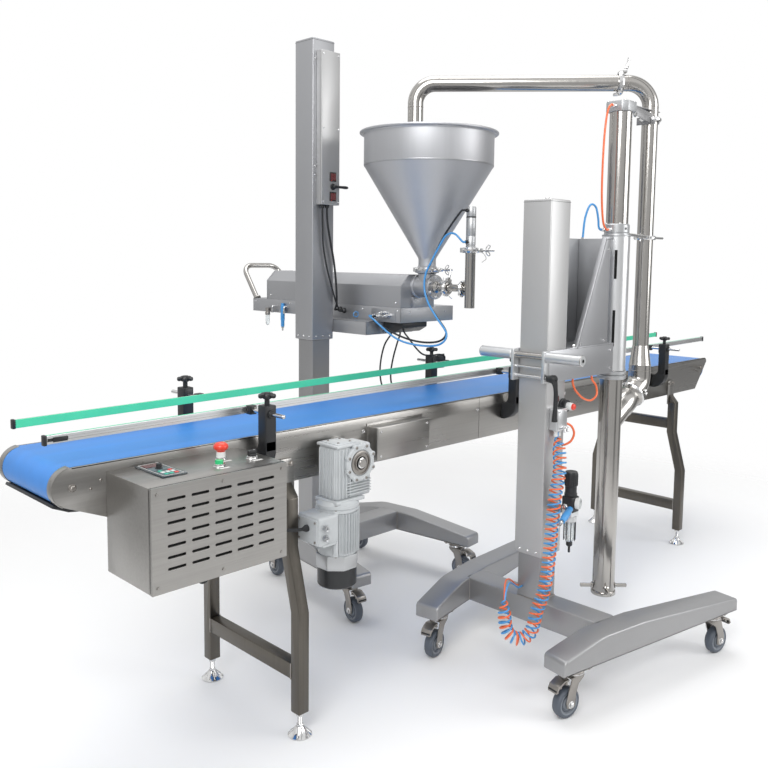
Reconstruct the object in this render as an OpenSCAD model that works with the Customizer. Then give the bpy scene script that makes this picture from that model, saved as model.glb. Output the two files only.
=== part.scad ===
// Belt conveyor with a wheeled piston depositor over the belt and a wheeled pump that fills its hopper.
// Along X: the belt. Towards +Y: the depositor. Towards -Y: the controls and the pump. The floor is at zero.

/* [Conveyor] */
// Height of the belt's top face above the floor
belt_z = 936; // [860:2:1000]
// Distance along the belt between the two leg frames
legs_gap = 2500; // [2200:10:2800]
// Reach of the side plates past the first leg frame
tail_reach = 709; // [640:1:780]
// Reach of the side plates past the second leg frame
end_reach = 416; // [360:1:480]
// Width over the two side plates
frame_w = 336; // [300:2:360]
// Height of a side plate
plate_h = 161; // [150:1:180]
// Thickness of a side plate
plate_t = 3; // [2:0.5:5]
// Width of the belt
belt_w = 318; // [280:2:324]
// Thickness of the belt
belt_t = 3; // [2:0.5:4]
// Diameter of the end rollers, which is also the belt's inner bend
roller_d = 96; // [80:1:110]
// Diameter of the drive roller
drive_d = 80; // [70:1:90]
// Place of the drive roller along the belt
drive_x = 200; // [150:1:260]
// Height of the drive roller's axis
drive_z = 826; // [815:1:840]

/* [Leg frames] */
// Width of the square leg tube
leg_tube = 40; // [30:1:50]
// Distance between the feet of one leg frame
feet_gap = 481; // [440:1:520]
// Height of the levelling feet
foot_h = 75; // [60:1:90]
// Height where a leg starts to lean inwards
crank_z0 = 389; // [360:1:420]
// Height where a leg stands upright again
crank_z1 = 583; // [560:1:600]
// Height of the lower cross bars' underside
bar_z = 178; // [150:1:220]
// Height of the upper cross bars' underside
upper_bar_z = 600; // [590:1:640]
// Height of a cross bar
bar_h = 50; // [40:1:60]

/* [Guide rails] */
// Height of a guide rail's section
rail_h = 22; // [18:1:30]
// Thickness of a guide rail
rail_t = 12; // [10:1:16]
// Distance of the front rail's middle from the belt's middle
front_rail_y = 130; // [120:1:140]
// Distance of the back rail's middle from the belt's middle
back_rail_y = 126; // [120:1:140]
// Distance of the posts from the belt's middle
post_y = 220; // [215:1:230]
// Size of a post's section
post_w = 38; // [30:1:44]
// Diameter of a rail rod
rod_d = 12; // [10:1:14]

/* [Control box] */
// Length, depth and height of the control box
box_l = 400; // [360:2:440]
// Depth of the control box, away from the conveyor
box_d = 220; // [180:2:260]
// Height of the control box
box_h = 261; // [220:1:280]
// Height of the control box's top
box_top_z = 911; // [900:1:920]
// Length of a ventilation slot
vent_l = 50; // [40:1:56]
// Height of a ventilation slot
vent_h = 7; // [5:1:9]
// Distance between the rows of slots
vent_pitch = 28.5; // [24:0.5:32]

/* [Stands] */
// Width of the inner column
column_w = 95; // [90:1:99]
// Width of a lift sleeve
sleeve_w = 116; // [114:1:124]
// Diameter of a caster wheel
wheel_d = 100; // [90:1:104]
// Width of a caster wheel
wheel_w = 32; // [26:1:36]
// Height of a caster
caster_h = 163; // [160:1:175]
// Height of a stand's beam
beam_h = 88; // [80:1:96]
// Width of a stand's beam
beam_w = 98; // [90:1:104]
// Width of a stand's leg
stand_leg_w = 94; // [88:1:100]
// Height of a stand leg's end
leg_end_h = 49; // [40:1:60]
// Reach of a stand's legs behind its beam
rear_reach = 282; // [260:1:300]

/* [Depositor] */
// Place of the depositor's column along the belt
dep_x = 766; // [740:1:790]
// Distance of the depositor's column from the belt's middle
dep_y = 616; // [600:1:640]
// Top of the depositor's sleeve
dep_top_z = 2354; // [2300:1:2400]
// Bottom of the depositor's sleeve
dep_sleeve_z = 1109; // [1100:1:1140]
// Offset of the base's middle from the column
dep_base_shift = 230; // [220:1:240]
// Half the clear width between the base's legs
dep_gap = 241; // [230:1:250]
// Splay of the base's legs in degrees
dep_splay = 7.5; // [6:0.5:9]
// Forward reach of the base's legs
dep_reach = 449; // [430:1:460]
// Length of the tray over the belt
tray_l = 1021; // [1000:1:1040]
// Width of the tray
tray_w = 328; // [318:1:340]
// Height of the tray
tray_h = 63; // [56:1:70]
// Height of the tray's top
tray_z = 1256; // [1250:1:1270]
// Width of the cylinder's cover
cover_w = 200; // [196:1:210]
// Length of the cylinder's cover
cover_l = 906; // [890:1:920]
// Height of the cylinder's cover
cover_h = 135; // [130:1:145]
// Width of the cover's slanted corners
cover_slant = 46; // [40:1:52]

/* [Hopper and outlet] */
// Diameter of the hopper's rim
rim_d = 564; // [550:2:580]
// Diameter of the hopper's drum
drum_d = 528; // [510:2:540]
// Height of the hopper's rim
rim_z = 1983; // [1975:1:1995]
// Height of the hopper's drum
drum_h = 135; // [120:1:145]
// Diameter of the hopper's neck
neck_d = 72; // [66:1:78]
// Height where the cone meets the neck
neck_z = 1455; // [1450:1:1465]
// Wall of the hopper
hopper_t = 3; // [2:0.5:4]
// Distance of the hopper's axis from the belt's middle
hopper_y = 181; // [176:1:186]
// Diameter of the valve body
valve_d = 88; // [84:1:94]
// Height of the valve body's axis
valve_z = 1343; // [1341:0.5:1345]
// Diameter of the outlet tube
spout_d = 40; // [36:1:44]
// Bottom of the outlet tube
spout_z = 1266; // [1240:1:1272]
// Distance of the outlet tube in front of the belt's middle
spout_y = 48; // [46:1:52]

/* [Pump] */
// Place of the pump's column along the belt
pump_x = 904; // [890:1:920]
// Distance of the pump's column from the belt's middle
pump_y = 469; // [460:1:480]
// Top of the pump's sleeve
pump_top_z = 1665; // [1655:1:1680]
// Bottom of the pump's sleeve
pump_sleeve_z = 417; // [400:1:430]
// Half the clear width between the base's legs
pump_gap = 277; // [265:1:290]
// Splay of the base's legs in degrees
pump_splay = 10.4; // [9:0.2:12]
// Forward reach of the base's legs
pump_reach = 636; // [620:1:650]
// Distance of the product tube from the column
tube_reach = 472; // [466:1:480]
// Diameter of the product tube
tube_d = 88; // [84:1:92]
// Bottom of the product tube
tube_z = 126; // [120:1:140]
// Distance of the riser pipe from the product tube
pipe_reach = 226; // [220:1:232]
// Diameter of the transfer pipe
pipe_d = 63.5; // [60:0.5:66]
// Height of the horizontal pipe's axis
pipe_z = 2166; // [2150:1:2180]
// Diameter of the pump's air cylinder
air_d = 84; // [80:1:90]

/* [Hidden] */
$fn = 48;
// Overrun of every cut, clearance of a turning or sliding fit, and clearance of the lift sleeves
over = 1;
fit = 0.05;
slide_gap = 0.5;

// Conveyor values that follow
half_w = frame_w / 2;
plate_z0 = belt_z - plate_h;
bend_r = roller_d / 2 + belt_t;
roller_z = belt_z - bend_r;
tail_x = bend_r - tail_reach;
end_inset = 66;
end_x = legs_gap + end_reach - end_inset;
plate_x1 = legs_gap + end_reach;
plate_corner = 22;
end_slope = 125;
nose_slope = 131;
axle_d = 20;
drive_axle_d = 25;
axle_proud = 4;
bed_t = 3;
bed_gap = 10;
bend_steps = 24;
roller_clear = 0.3;
tie_d = 20;
tie_share = [0.28, 0.45, 0.62, 0.8];
// Drive cover: a box on the front plate
drive_cover_x = 345;
drive_cover = [255, 47, 115];
drive_cover_z = 790;
bolt_d = 16;
bolt_h = 6;

// Levelling foot sizes
foot_disc_d = 74;
foot_bell_h = 28;
foot_stem_d = 16;
foot_nut_d = 26;
foot_nut_h = 10;
foot_ribs = 10;
foot_rib_t = 3;
foot_floor_t = 5;

// Leg sizes: the upper stretch stands against the side plate
foot_y = feet_gap / 2;
upper_leg_y = half_w + leg_tube / 2;
leg_top_z = 735;
tab_t = 6;
tab_w = 62;
tab_top_z = 850;
tab_inset = 12;

// Guide rails: heights of the rails' tops at both ends
front_rail_x0 = -712;
front_rail_x1 = 2935;
back_rail_x0 = -689;
back_rail_x1 = 2895;
front_top_0 = 1016;
front_top_1 = 1046;
back_top_0 = 1015;
back_top_1 = 1054;
cap_l = 9;
cap_lip = 2;
post_xs = [-105, 1085, 2310];
post_foot_z = 840;
post_foot_top = 898;
post_foot_w = 26;
post_over = 24;
rod_out = 80;
clamp_w = 24;
clamp_d = 18;
knob_stem_d = 14;
knob_stem_h = 20;
knob_l = 52;
knob_w = 18;
knob_h = 17;
sensor_plate = [44, 5, 60];

// Control box values
box_x0 = -570;
cover_t = 6;
screw_d = 9;
screw_h = 2.5;
screw_inset = 16;
vent_columns = 5;
vent_rows = 7;
vent_margin = 42;
vent_top_drop = 30;
keypad_x = -498;
keypad_y = -323;
keypad = [68, 141, 4];
key_d = 9;
key_gap_share = [0.2, 0.5, 0.8];
stop_at = [-285, -255];
start_at = [-330, -315];
select_at = [-217, -302];
button_d = 22;
collar_d = 30;
collar_h = 8;
button_hole = 30;
stop_cap_d = 40;
stop_cap_h = 22;
stop_neck = 26;
cap_foot_share = 0.85;
cap_top_share = 0.75;
cap_low_share = 0.4;
press_travel = 5;
start_cap_h = 10;
knob_bar = [26, 10, 14];
plug_d = 30;
plug_h = 34;
plug_xs = [-415, -354];
plug_y = -240;

// Gear motor: the output bore is along Y, the motor hangs below the worm
gear_y0 = half_w + 7;
gear_y1 = 297;
gear_r = 62;
motor_x = 152;
motor_y = 236;
worm_d = 100;
worm_z0 = 709;
worm_z1 = 892;
flange_w = 140;
flange_z0 = 685;
motor_d = 138;
motor_z0 = 545;
octagon_z0 = 500;
cowl_z0 = 440;
rib_n = 20;
rib_t = 3;
rib_out = 4;
terminal = [68, 104, 92];
terminal_x = 28;
terminal_y = -292;
terminal_z = 592;
gland_d = 20;
gland_l = 14;
terminal_gland_share = [0.3, 0.7];
cowl_share = 0.9;
half_facet = 22.5;

// Stand values in a frame of their own: forward along X, left along Y
beam_z = caster_h + 3;
beam_top = beam_z + beam_h;
crown_reach = 100;
join = 15;
swivel_inset = 92;
trail = 34;
king_d = 14;
king_h = 24;
crown_d = 62;
crown_h = 14;
cheek_t = 5;
cheek_gap = 3;
cheek_w = 40;
axle_pin_d = 12;
axle_head_d = 20;
axle_head_h = 5;
hub_d = 46;
tread_r = 6;
brake = [44, 40, 6];
sleeve_wall = 10;
cap_t = 8;
screw_row_share = [-0.3, 0, 0.3];

// Depositor values that follow
dep_lift_down = 60;
tray_x0 = dep_x + sleeve_w / 2 + 81;
tray_y0 = 232;
tray_z0 = tray_z - tray_h;
sheet = 3;
cover_top = tray_z + cover_h;
product_x = tray_x0 + cover_w / 2;
handle_d = 25;
handle_out = 82;
handle_z = 1424;
handle_bend = 50;
handle_gap = 215;
shelf_y0 = 352;
shelf_t = 55;
shelf_z0 = 1140;
hanger = [150, 271, 42];
hanger_x0 = 925;
hanger_y0 = 240;
hanger_slope = 40;
hose_port_ys = [360, 384];
hose_port_z = 1216;
hose_port_d = 16;
coupler_y = 1007;
coupler_z0 = 1110;
coupler_z1 = 1240;
filter_y = 1125;
filter_z0 = 1128;
filter_d = 20;
case_port_ys = [575, 600];
case_port_zs = [1228, 1232];
case_w = 100;
case_d = 35;
case_z0 = 1677;
case_z1 = 2302;
case_gland_share = [0.2, 0.45];
case_left_share = 0.4;
display = [34, 5, 42];
display_zs = [1793, 1712];
switch_z = 1752;
switch_x = 787;
boss_d = 26;
boss_l = 8;
lever_l = 73;
lever_w = 14;
cylinder_d = 84;
cylinder_bore = 70;
cylinder_y0 = 240;
cylinder_len = 330;
air_y0 = 650;
air_len = 360;
air_bore = 63;
air_head = 14;
rod2_d = 25;
piston_y = 300;
piston_t = 30;
tie_rod_d = 12;
saddle_w = 70;
saddle_l = 40;

// Valve body and hopper values
valve_y0 = 130;
valve_disc_t = 14;
valve_disc_d = 100;
plug_bore = 60;
plug_wall = 9;
port_d = 29;
inner_port_d = 21;
clamp_ring_d = 100;
clamp_ring_h = 14;
port_ring_d = 46;
port_ring_l = 12;
rim_roll = 12;
neck_over = 12;
neck_bottom = valve_z + valve_d / 2 + neck_over;

// Outlet tube values
spout_bore = 30;
spout_body_z1 = 1493;
air2_d = 38;
air2_z1 = 1662;
spout_clamp_d = 58;
wing_l = 34;
plunger_z = 1286;
branch_l = 14;
branch_y = spout_d / 2 - spout_y + branch_l;
port2_d = 12;
port2_l = 14;

// Pump values that follow
pump_lift_down = 40;
tube_x = pump_x + tube_reach;
pipe_x = tube_x + pipe_reach;
tube_top = 1000;
tube_wall = 4;
house_z1 = 1555;
house_w = 104;
house_wall = 6;
slot_zs = [[1130, 1270], [1390, 1500]];
slot_w = 22;
lower_head_h = 45;
air_z1 = 2021;
top_head_h = 39;
head_w = 96;
second_port = 29;
arm_z0 = 1040;
arm_h = 110;
arm_t = 12;
arm_x1 = 1324;
gusset_top = 1540;
gusset_l = 330;
bead_w = 5;
bar_foot_l = 190;
bar_foot_d = 16;
elbow_r = 95;
top_clamp_x = 20;
reducer_z0 = 1035;
reducer_h = 80;
riser_clamps = [1115, 1545, 2013];
lateral_d = 88;
lateral_z = 825;
lateral_tilt = 60;
lateral_l = 190;
lateral_bend_r = 100;
pipe_wall = 2;
ring_over = 12;
ring_h = 16;
drop_z = 2004;
drop_x = 990;
drop_y = 245;
grip_x = 826;
grip_z = 1130;
grip_bar_d = 25;
grip_d = 40;
grip_l = 140;
grip_near = 680;
grip_far = 259;
clamp_bar_w = 30;
lower_rod_d = 12;
lower_rod_z = 1058;
rod_proud = 8;
lever_y = 556;
lever2_l = 145;
lever2_d = 20;
unit_x = 912;
unit_y = 596;
unit_w = 46;
unit_z0 = 442;
unit_z1 = 732;
unit_knob_z = 642;
unit_bowl_z = 572;
unit_arm_z = 582;
unit_arm_t = 30;
valve_box = [60, 34, 76];
valve_box_z = 872;
valve_box_left = 36;
button2_d = 28;
button2_l = 30;
button2_x = 44;
button2_z = 950;
housing2_d = 44;
housing2_l = 22;
display2 = [26, 4, 22];
display2_at = [[-10, 966], [30, 889]];

// Cord sizes and routes: each route is a list of points along the cord
hose_d = 8;
cable_d = 7;
case_cable_d = 9;
motor_cable_d = 10;
cord_sides = 8;
cord_steps = 1;
black_hose_path = [[885, 360, 1216], [873, 360, 1216], [862, 335, 1195], [857, 200, 1150], [857, 80, 1132],
    [860, -20, 1142], [872, -45, 1178], [890, 20, 1232], [905, 76, 1278], [915, 110, 1335], [922, 112,
        1395],
    [930, 88, 1448], [942, 34, 1550], [950, -36, 1636], [958, -48, 1646], [971.4, -48, 1646]];
blue_hose_path = [[885, 384, 1216], [873, 384, 1216], [858, 340, 1203], [845, 200, 1138], [844, 80, 1120],
    [847, -30, 1130], [860, -58, 1172], [878, 12, 1232], [893, 66, 1280], [901, 98, 1336], [908, 100, 1396],
    [916, 78, 1446], [924, 46, 1504], [933, 16, 1550], [944, -16, 1556], [956, -47, 1526], [970.6, -48,
        1525]];
case_cable_path = [[771, 540.5, 1663], [771, 540.5, 1649], [778, 543, 1595], [798, 545, 1512], [815,
    545, 1440],
    [826, 545, 1365], [834, 548, 1300], [846, 562, 1258], [866, 594, 1234], [877, 600, 1232], [891,
        600, 1232]];
thin_cable_path = [[746, 540.5, 1663], [746, 540.5, 1649], [751, 545, 1595], [756, 546, 1510], [774,
    546, 1425],
    [800, 546, 1345], [824, 546, 1280], [850, 556, 1244], [869, 574, 1229], [879, 575, 1228], [891,
        575, 1228]];
left_cable_path = [[950, 330, 1151], [950, 331, 1138], [950, 368, 1092], [950, 390, 1025], [950, 394, 958],
    [950, 372, 902], [950, 300, 872], [950, 220, 876], [950, 198, 880], [950, 182, 880]];
right_cable_path = [[966, 294, 1151], [966, 294, 1138], [966, 312, 1095], [966, 334, 1030], [966, 346, 965],
    [966, 334, 915], [966, 280, 882], [966, 220, 878], [966, 198, 880], [966, 182, 880]];
sensor_cable_path = [[950, 258, 1162.5], [950, 252, 1150.5], [954, 228, 1126], [968, 196, 1085], [995,
    184, 1062],
    [1040, 180, 1056], [1090, 178, 1056], [1118, 176, 1046], [1126, 184, 1026], [1126, 199.6, 1023]];
arm_loop_path = [[1000, -533, 1040], [1000, -533, 1026], [1014, -536, 998], [1054, -542, 966], [1105,
    -545, 952],
    [1146, -544, 968], [1150, -538, 1000], [1128, -534, 1024], [1124, -533, 1040]];
box_loop_path = [[928, -545, 890], [942, -545, 890], [964, -556, 878], [974, -562, 852], [964, -558, 826],
    [946, -548, 814], [940, -540, 812], [940, -527, 812]];
cylinder_hose_path = [[1314, -469, 2040.5], [1300, -469, 2040.5], [1278, -469, 2014], [1262, -469, 1930],
    [1256, -469, 1800], [1259, -469, 1690], [1274, -469, 1606], [1298, -469, 1577.5], [1314, -469, 1577.5]];
plate_hose_path = [[1240, -405, 1540], [1240, -405, 1554], [1243, -410, 1620], [1256, -422, 1668],
    [1276, -434, 1662], [1286, -440, 1620], [1292, -440, 1588], [1302, -440, 1578], [1314, -440, 1577.5]];
motor_cable_path = [[28, -240, 645], [12, -240, 645], [-20, -236, 648], [-60, -228, 656], [-105, -222, 663],
    [-150, -220, 665], [-170, -220, 665]];
plug_loop_path = [[-354, -240, 616], [-354, -240, 602], [-349, -240, 586], [-334, -240, 577], [-318,
    -240, 588],
    [-312, -240, 614], [-312, -240, 632], [-312, -240, 650]];
coil_d = 6;
coil_r = 21;
coil_end_r = 9;
coil_sides = 6;
rings_per_curl = 8;
coil_curls = 27;
coil_path = [[896, -544, 869.6], [896, -544, 850], [878, -566, 805], [850, -588, 740], [824, -588, 640],
    [802, -586, 420],
    [784, -582, 330], [763, -570, 265], [756, -565, 222], [745, -556, 187], [719, -534, 170], [693,
        -511, 187],
    [682, -501, 224], [680, -497, 280], [696, -487, 328], [740, -465, 346], [792, -445, 325], [830,
        -435, 298],
    [844, -434, 292], [855, -434, 292]];
coil_start_turn = 0;
coil_lead = 24;
coil_tail = 215;
coil_tail_rings = 10;
coil_ease = 50;
coil_normal = [1, 1, 0];
// The drawing is moved so that its origin is at the bottom centre of the whole
pump_leg_y = pump_y + pump_gap + sin(pump_splay) * pump_reach + cos(pump_splay) * stand_leg_w;
handle_y = tray_y0 + tray_l + handle_out;
mid_x = (front_rail_x0 + front_rail_x1) / 2;
mid_y = (handle_y + handle_d / 2 - pump_leg_y) / 2;

steel = [0.72, 0.73, 0.74];
dull_steel = [0.55, 0.56, 0.56];
light_grey = [0.85, 0.87, 0.88];
black = [0.08, 0.08, 0.09];
blue = [0.16, 0.49, 0.85];
green = [0.25, 0.85, 0.65];
red = [0.85, 0.18, 0.12];
orange = [0.93, 0.45, 0.3];

module place() { translate([-mid_x, -mid_y, 0]) children(); }
module box(a, b) { translate(a) cube(b - a); }
module rod_z(at, d, z1) { translate(at) cylinder(d = d, h = z1 - at[2]); }
module rod_y(at, d, y1) { translate([at[0], max(at[1], y1), at[2]]) rotate([90, 0, 0]) cylinder(d = d,
    h = abs(y1 - at[1])); }
module rod_x(at, d, x1) { translate([min(at[0], x1), at[1], at[2]]) rotate([0, 90, 0]) cylinder(d = d,
    h = abs(x1 - at[0])); }
// An outline in X and Z, drawn out along Y from y0 to y1
module side_shape(y0, y1) { translate([0, y1, 0]) rotate([90, 0, 0]) linear_extrude(y1 - y0) children(); }
// An outline in Y and Z, drawn out along X from x0 to x1
module end_shape(x0, x1) { translate([x0, 0, 0]) rotate([90, 0, 90]) linear_extrude(x1 - x0) children(); }
module mirrored_y() { children(); mirror([0, 1, 0]) children(); }

function unit(v) = v / norm(v);
// Touch points of the straight line under two circles, from circle a to circle b
function lower_touch(ca, ra, cb, rb) = let (d = cb - ca, l = norm(d), u = d / l, k = (ra - rb) / l,
    n = k * u + sqrt(1 - k * k) * [u[1], -u[0]]) [ca + ra * n, cb + rb * n];

// Conveyor
module plate_outline() {
    lower = lower_touch([tail_x, roller_z], bend_r, [tail_x + nose_slope, plate_z0], 0);
    polygon([[tail_x, belt_z], [plate_x1 - plate_corner, belt_z], [plate_x1, belt_z - plate_corner],
        [plate_x1 - end_slope, plate_z0], lower[1], lower[0], [tail_x, roller_z]]);
    translate([tail_x, roller_z]) circle(bend_r);
    translate([plate_x1 - plate_corner, belt_z - plate_corner]) circle(plate_corner);
}
module axle_holes() {
    for (x = [tail_x, end_x]) rod_y([x, -half_w - over, roller_z], axle_d + 2 * fit, half_w + over);
    rod_y([drive_x, -gear_y0 - over, drive_z], drive_axle_d + 2 * fit, half_w + over);
}
module conveyor_frame() place() color(steel) difference() {
    union() {
        mirrored_y() side_shape(half_w - plate_t, half_w) plate_outline();
        box([tail_x + roller_d / 2 + bed_gap, plate_t - half_w, belt_z - belt_t - bed_t],
            [end_x - roller_d / 2 - bed_gap, half_w - plate_t, belt_z - belt_t]);
        for (s = tie_share) rod_y([tail_x + s * (end_x - tail_x), plate_t - half_w, roller_z + belt_t],
            tie_d, half_w - plate_t);
        box([drive_cover_x, -half_w - drive_cover[1], drive_cover_z],
            [drive_cover_x + drive_cover[0], -half_w, drive_cover_z + drive_cover[2]]);
        for (x = [drive_cover_x, drive_cover_x + drive_cover[0]])
            rod_y([x + sign(drive_cover_x + over - x) * screw_inset,
                -half_w - drive_cover[1] - screw_h, drive_cover_z + drive_cover[2] - screw_inset],
                screw_d, -half_w - drive_cover[1]);
        rod_y([drive_x, -gear_y0, drive_z], gear_r * 2, -half_w);
    }
    axle_holes();
}
function arc(c, r, a0, a1) = [for (i = [0 : bend_steps]) let (a = a0 + i / bend_steps * (a1 - a0)) c +
    r * [cos(a), sin(a)]];
function touch_angle(ca, ra, cb, rb) = let (n = (lower_touch(ca, ra, cb,
    rb)[0] - ca) / ra) 360 + atan2(n[1], n[0]);
module belt_loop(r, r2) {
    tail = [tail_x, roller_z];
    far = [end_x, roller_z];
    drive = [drive_x, drive_z];
    down = touch_angle(tail, r, drive, r2);
    up = touch_angle(drive, r2, far, r);
    polygon(concat(arc(tail, r, 90, down), arc(drive, r2, down, up), arc(far, r, up, 450)));
}
module belt() place() color(blue) side_shape(-belt_w / 2, belt_w / 2) difference() {
    belt_loop(bend_r, drive_d / 2 + belt_t);
    belt_loop(roller_d / 2, drive_d / 2);
}
module roller(x, z, d, axle) {
    rod_y([x, -belt_w / 2, z], d - 2 * roller_clear, belt_w / 2);
    rod_y([x, -half_w - axle_proud, z], axle, half_w + axle_proud);
}
module tail_roller() place() color(dull_steel) roller(tail_x, roller_z, roller_d, axle_d);
module end_roller() place() color(dull_steel) roller(end_x, roller_z, roller_d, axle_d);
module drive_roller() place() color(dull_steel) {
    roller(drive_x, drive_z, drive_d, drive_axle_d);
    rod_y([drive_x, -gear_y1 - axle_proud, drive_z], drive_axle_d, -half_w);
}

module leg_outline() {
    t = leg_tube / 2;
    polygon([[foot_y - t, foot_h], [foot_y + t, foot_h], [foot_y + t, crank_z0], [upper_leg_y + t,
        crank_z1],
        [upper_leg_y + t, leg_top_z], [upper_leg_y - t + tab_t, leg_top_z + leg_tube],
            [upper_leg_y - t + tab_t, tab_top_z],
        [upper_leg_y - t, tab_top_z], [upper_leg_y - t, crank_z1], [foot_y - t, crank_z0]]);
}
module leg_frames() place() color(dull_steel) for (x = [0, legs_gap]) {
    mirrored_y() {
        end_shape(x - leg_tube / 2, x + leg_tube / 2) leg_outline();
        box([x - tab_w / 2, half_w, leg_top_z + leg_tube], [x + tab_w / 2, half_w + tab_t, tab_top_z]);
        for (s = [-1, 1]) rod_y([x + s * (tab_w / 2 - tab_inset), half_w, tab_top_z - tab_inset],
            bolt_d, half_w + tab_t + bolt_h);
    }
    box([x - leg_tube / 2, -foot_y, bar_z], [x + leg_tube / 2, foot_y, bar_z + bar_h]);
    box([x - leg_tube / 2, -upper_leg_y, upper_bar_z], [x + leg_tube / 2, upper_leg_y,
        upper_bar_z + bar_h]);
}
module levelling_feet() place() color(black) for (x = [0, legs_gap], y = [-foot_y,
    foot_y]) translate([x, y, 0]) {
    rotate_extrude() polygon([[0, 0], [foot_disc_d / 2, 0], [foot_disc_d / 2, foot_floor_t],
        [foot_nut_d / 2, foot_bell_h], [0, foot_bell_h]]);
    for (a = [0 : 360 / foot_ribs : 359]) rotate(a) translate([foot_nut_d / 2, -foot_rib_t / 2, 0])
        cube([(foot_disc_d - foot_nut_d) / 2 - foot_rib_t, foot_rib_t, foot_bell_h / 2 + foot_floor_t]);
    cylinder(d = foot_stem_d, h = foot_h);
    translate([0, 0, foot_h - foot_nut_h]) cylinder(d = foot_nut_d, h = foot_nut_h, $fn = 6);
}

// Guide rails: each rises evenly from one end to the other
function front_mid(x) = front_top_0 - rail_h / 2 + (x - front_rail_x0) / (front_rail_x1 -
    front_rail_x0) * (front_top_1 - front_top_0);
function back_mid(x) = back_top_0 - rail_h / 2 + (x - back_rail_x0) / (back_rail_x1 - back_rail_x0) *
    (back_top_1 - back_top_0);
module rail_bar(x0, z0, x1, z1, half) polygon([[x0, z0 - half], [x1, z1 - half], [x1, z1 + half], [x0,
    z0 + half]]);
module rail(x0, x1, y, mid0, mid1, body_colour, side) {
    a = x0 + cap_l;
    b = x1 - cap_l;
    h = rail_h / 2;
    color(body_colour) side_shape(y - rail_t / 2, y + rail_t / 2) rail_bar(a, mid0, b, mid1, h);
    color(black) side_shape(y - rail_t / 2 - cap_lip, y + rail_t / 2 + cap_lip) {
        rail_bar(x0, mid0, a, mid0, h + cap_lip);
        rail_bar(b, mid1, x1, mid1, h + cap_lip);
    }
    for (x = post_xs) {
        z = mid0 + (x - x0) / (x1 - x0) * (mid1 - mid0);
        color(black) box([x - clamp_w / 2, min(y, y + side * (rail_t / 2 + clamp_d)), z - h - cap_lip],
            [x + clamp_w / 2, max(y, y + side * (rail_t / 2 + clamp_d)), z + h + cap_lip]);
        color(steel) rod_y([x, y, z], rod_d, side * (post_y + rod_out));
    }
}
module back_rail() place() rail(back_rail_x0, back_rail_x1, back_rail_y, back_mid(back_rail_x0),
    back_mid(back_rail_x1), green, 1);
module front_rail() place() rail(front_rail_x0, front_rail_x1, -front_rail_y, front_mid(front_rail_x0),
    front_mid(front_rail_x1), steel, -1);
// A post with its knob, on the +Y side; mid is the height of the rod
module rail_post(x, mid) {
    difference() {
        union() {
            box([x - post_foot_w / 2, half_w, post_foot_z], [x + post_foot_w / 2, post_y + post_w / 2,
                post_foot_top]);
            box([x - post_w / 2, post_y - post_w / 2, post_foot_top - post_foot_w], [x + post_w / 2,
                post_y + post_w / 2, mid + post_over]);
            rod_z([x, post_y, mid + post_over - over], knob_stem_d, mid + post_over + knob_stem_h + over);
            box([x - knob_l / 2, post_y - knob_w / 2, mid + post_over + knob_stem_h],
                [x + knob_l / 2, post_y + knob_w / 2, mid + post_over + knob_stem_h + knob_h]);
        }
        rod_y([x, post_y - post_w, mid], rod_d + 2 * fit, post_y + post_w);
    }
}
module rail_brackets() place() color(black) for (x = post_xs) {
    rail_post(x, back_mid(x));
    mirror([0, 1, 0]) rail_post(x, front_mid(x));
    if (x == post_xs[1]) translate([x + post_w / 2 - over, post_y - post_w / 2,
        back_mid(x) - sensor_plate[2] / 2]) cube(sensor_plate);
}

// Control box
module button_collar(at) difference() {
    rod_z([at[0], at[1], box_top_z], collar_d, box_top_z + collar_h);
    rod_z([at[0], at[1], box_top_z - over], button_d + 2 * fit, box_top_z + collar_h + over);
}
module control_box() place() {
    color(steel) difference() {
        box([box_x0, -half_w - box_d, box_top_z - box_h], [box_x0 + box_l, -half_w, box_top_z]);
        for (at = [stop_at, start_at, select_at]) rod_z([at[0], at[1], box_top_z - button_hole],
            button_d + 2 * fit, box_top_z + over);
    }
    color(light_grey) for (at = [stop_at, start_at, select_at]) button_collar(at);
    color(black) {
        translate([keypad_x, keypad_y, box_top_z]) cube(keypad);
        for (x = plug_xs) rod_z([x, plug_y, box_top_z - box_h - plug_h], plug_d, box_top_z - box_h);
    }
    color(light_grey) for (sx = key_gap_share, sy = key_gap_share)
        rod_z([keypad_x + sx * keypad[0], keypad_y + sy * keypad[1] / 2 + keypad[1] / 3,
            box_top_z + keypad[2]], key_d, box_top_z + keypad[2] + screw_h);
}
module control_cover() place() color(steel) translate([box_x0, -half_w - box_d - cover_t,
    box_top_z - box_h]) {
    column_pitch = (box_l - 2 * vent_margin - vent_l) / (vent_columns - 1);
    difference() {
        cube([box_l, cover_t, box_h]);
        for (i = [0 : vent_columns - 1], j = [0 : vent_rows - 1]) {
            x = vent_margin + i * column_pitch;
            z = box_h - vent_top_drop - vent_h - j * vent_pitch;
            translate([x + vent_h / 2, -over, z]) cube([vent_l - vent_h, cover_t + 2 * over, vent_h]);
            for (e = [vent_h / 2, vent_l - vent_h / 2]) translate([x + e, cover_t + over,
                z + vent_h / 2]) rotate([90, 0, 0])
                cylinder(d = vent_h, h = cover_t + 2 * over, $fn = 16);
        }
    }
    for (x = [screw_inset, box_l / 2, box_l - screw_inset], z = [screw_inset, box_h - screw_inset])
        translate([x, 0, z]) rotate([90, 0, 0]) cylinder(d = screw_d, h = screw_h);
}
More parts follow.
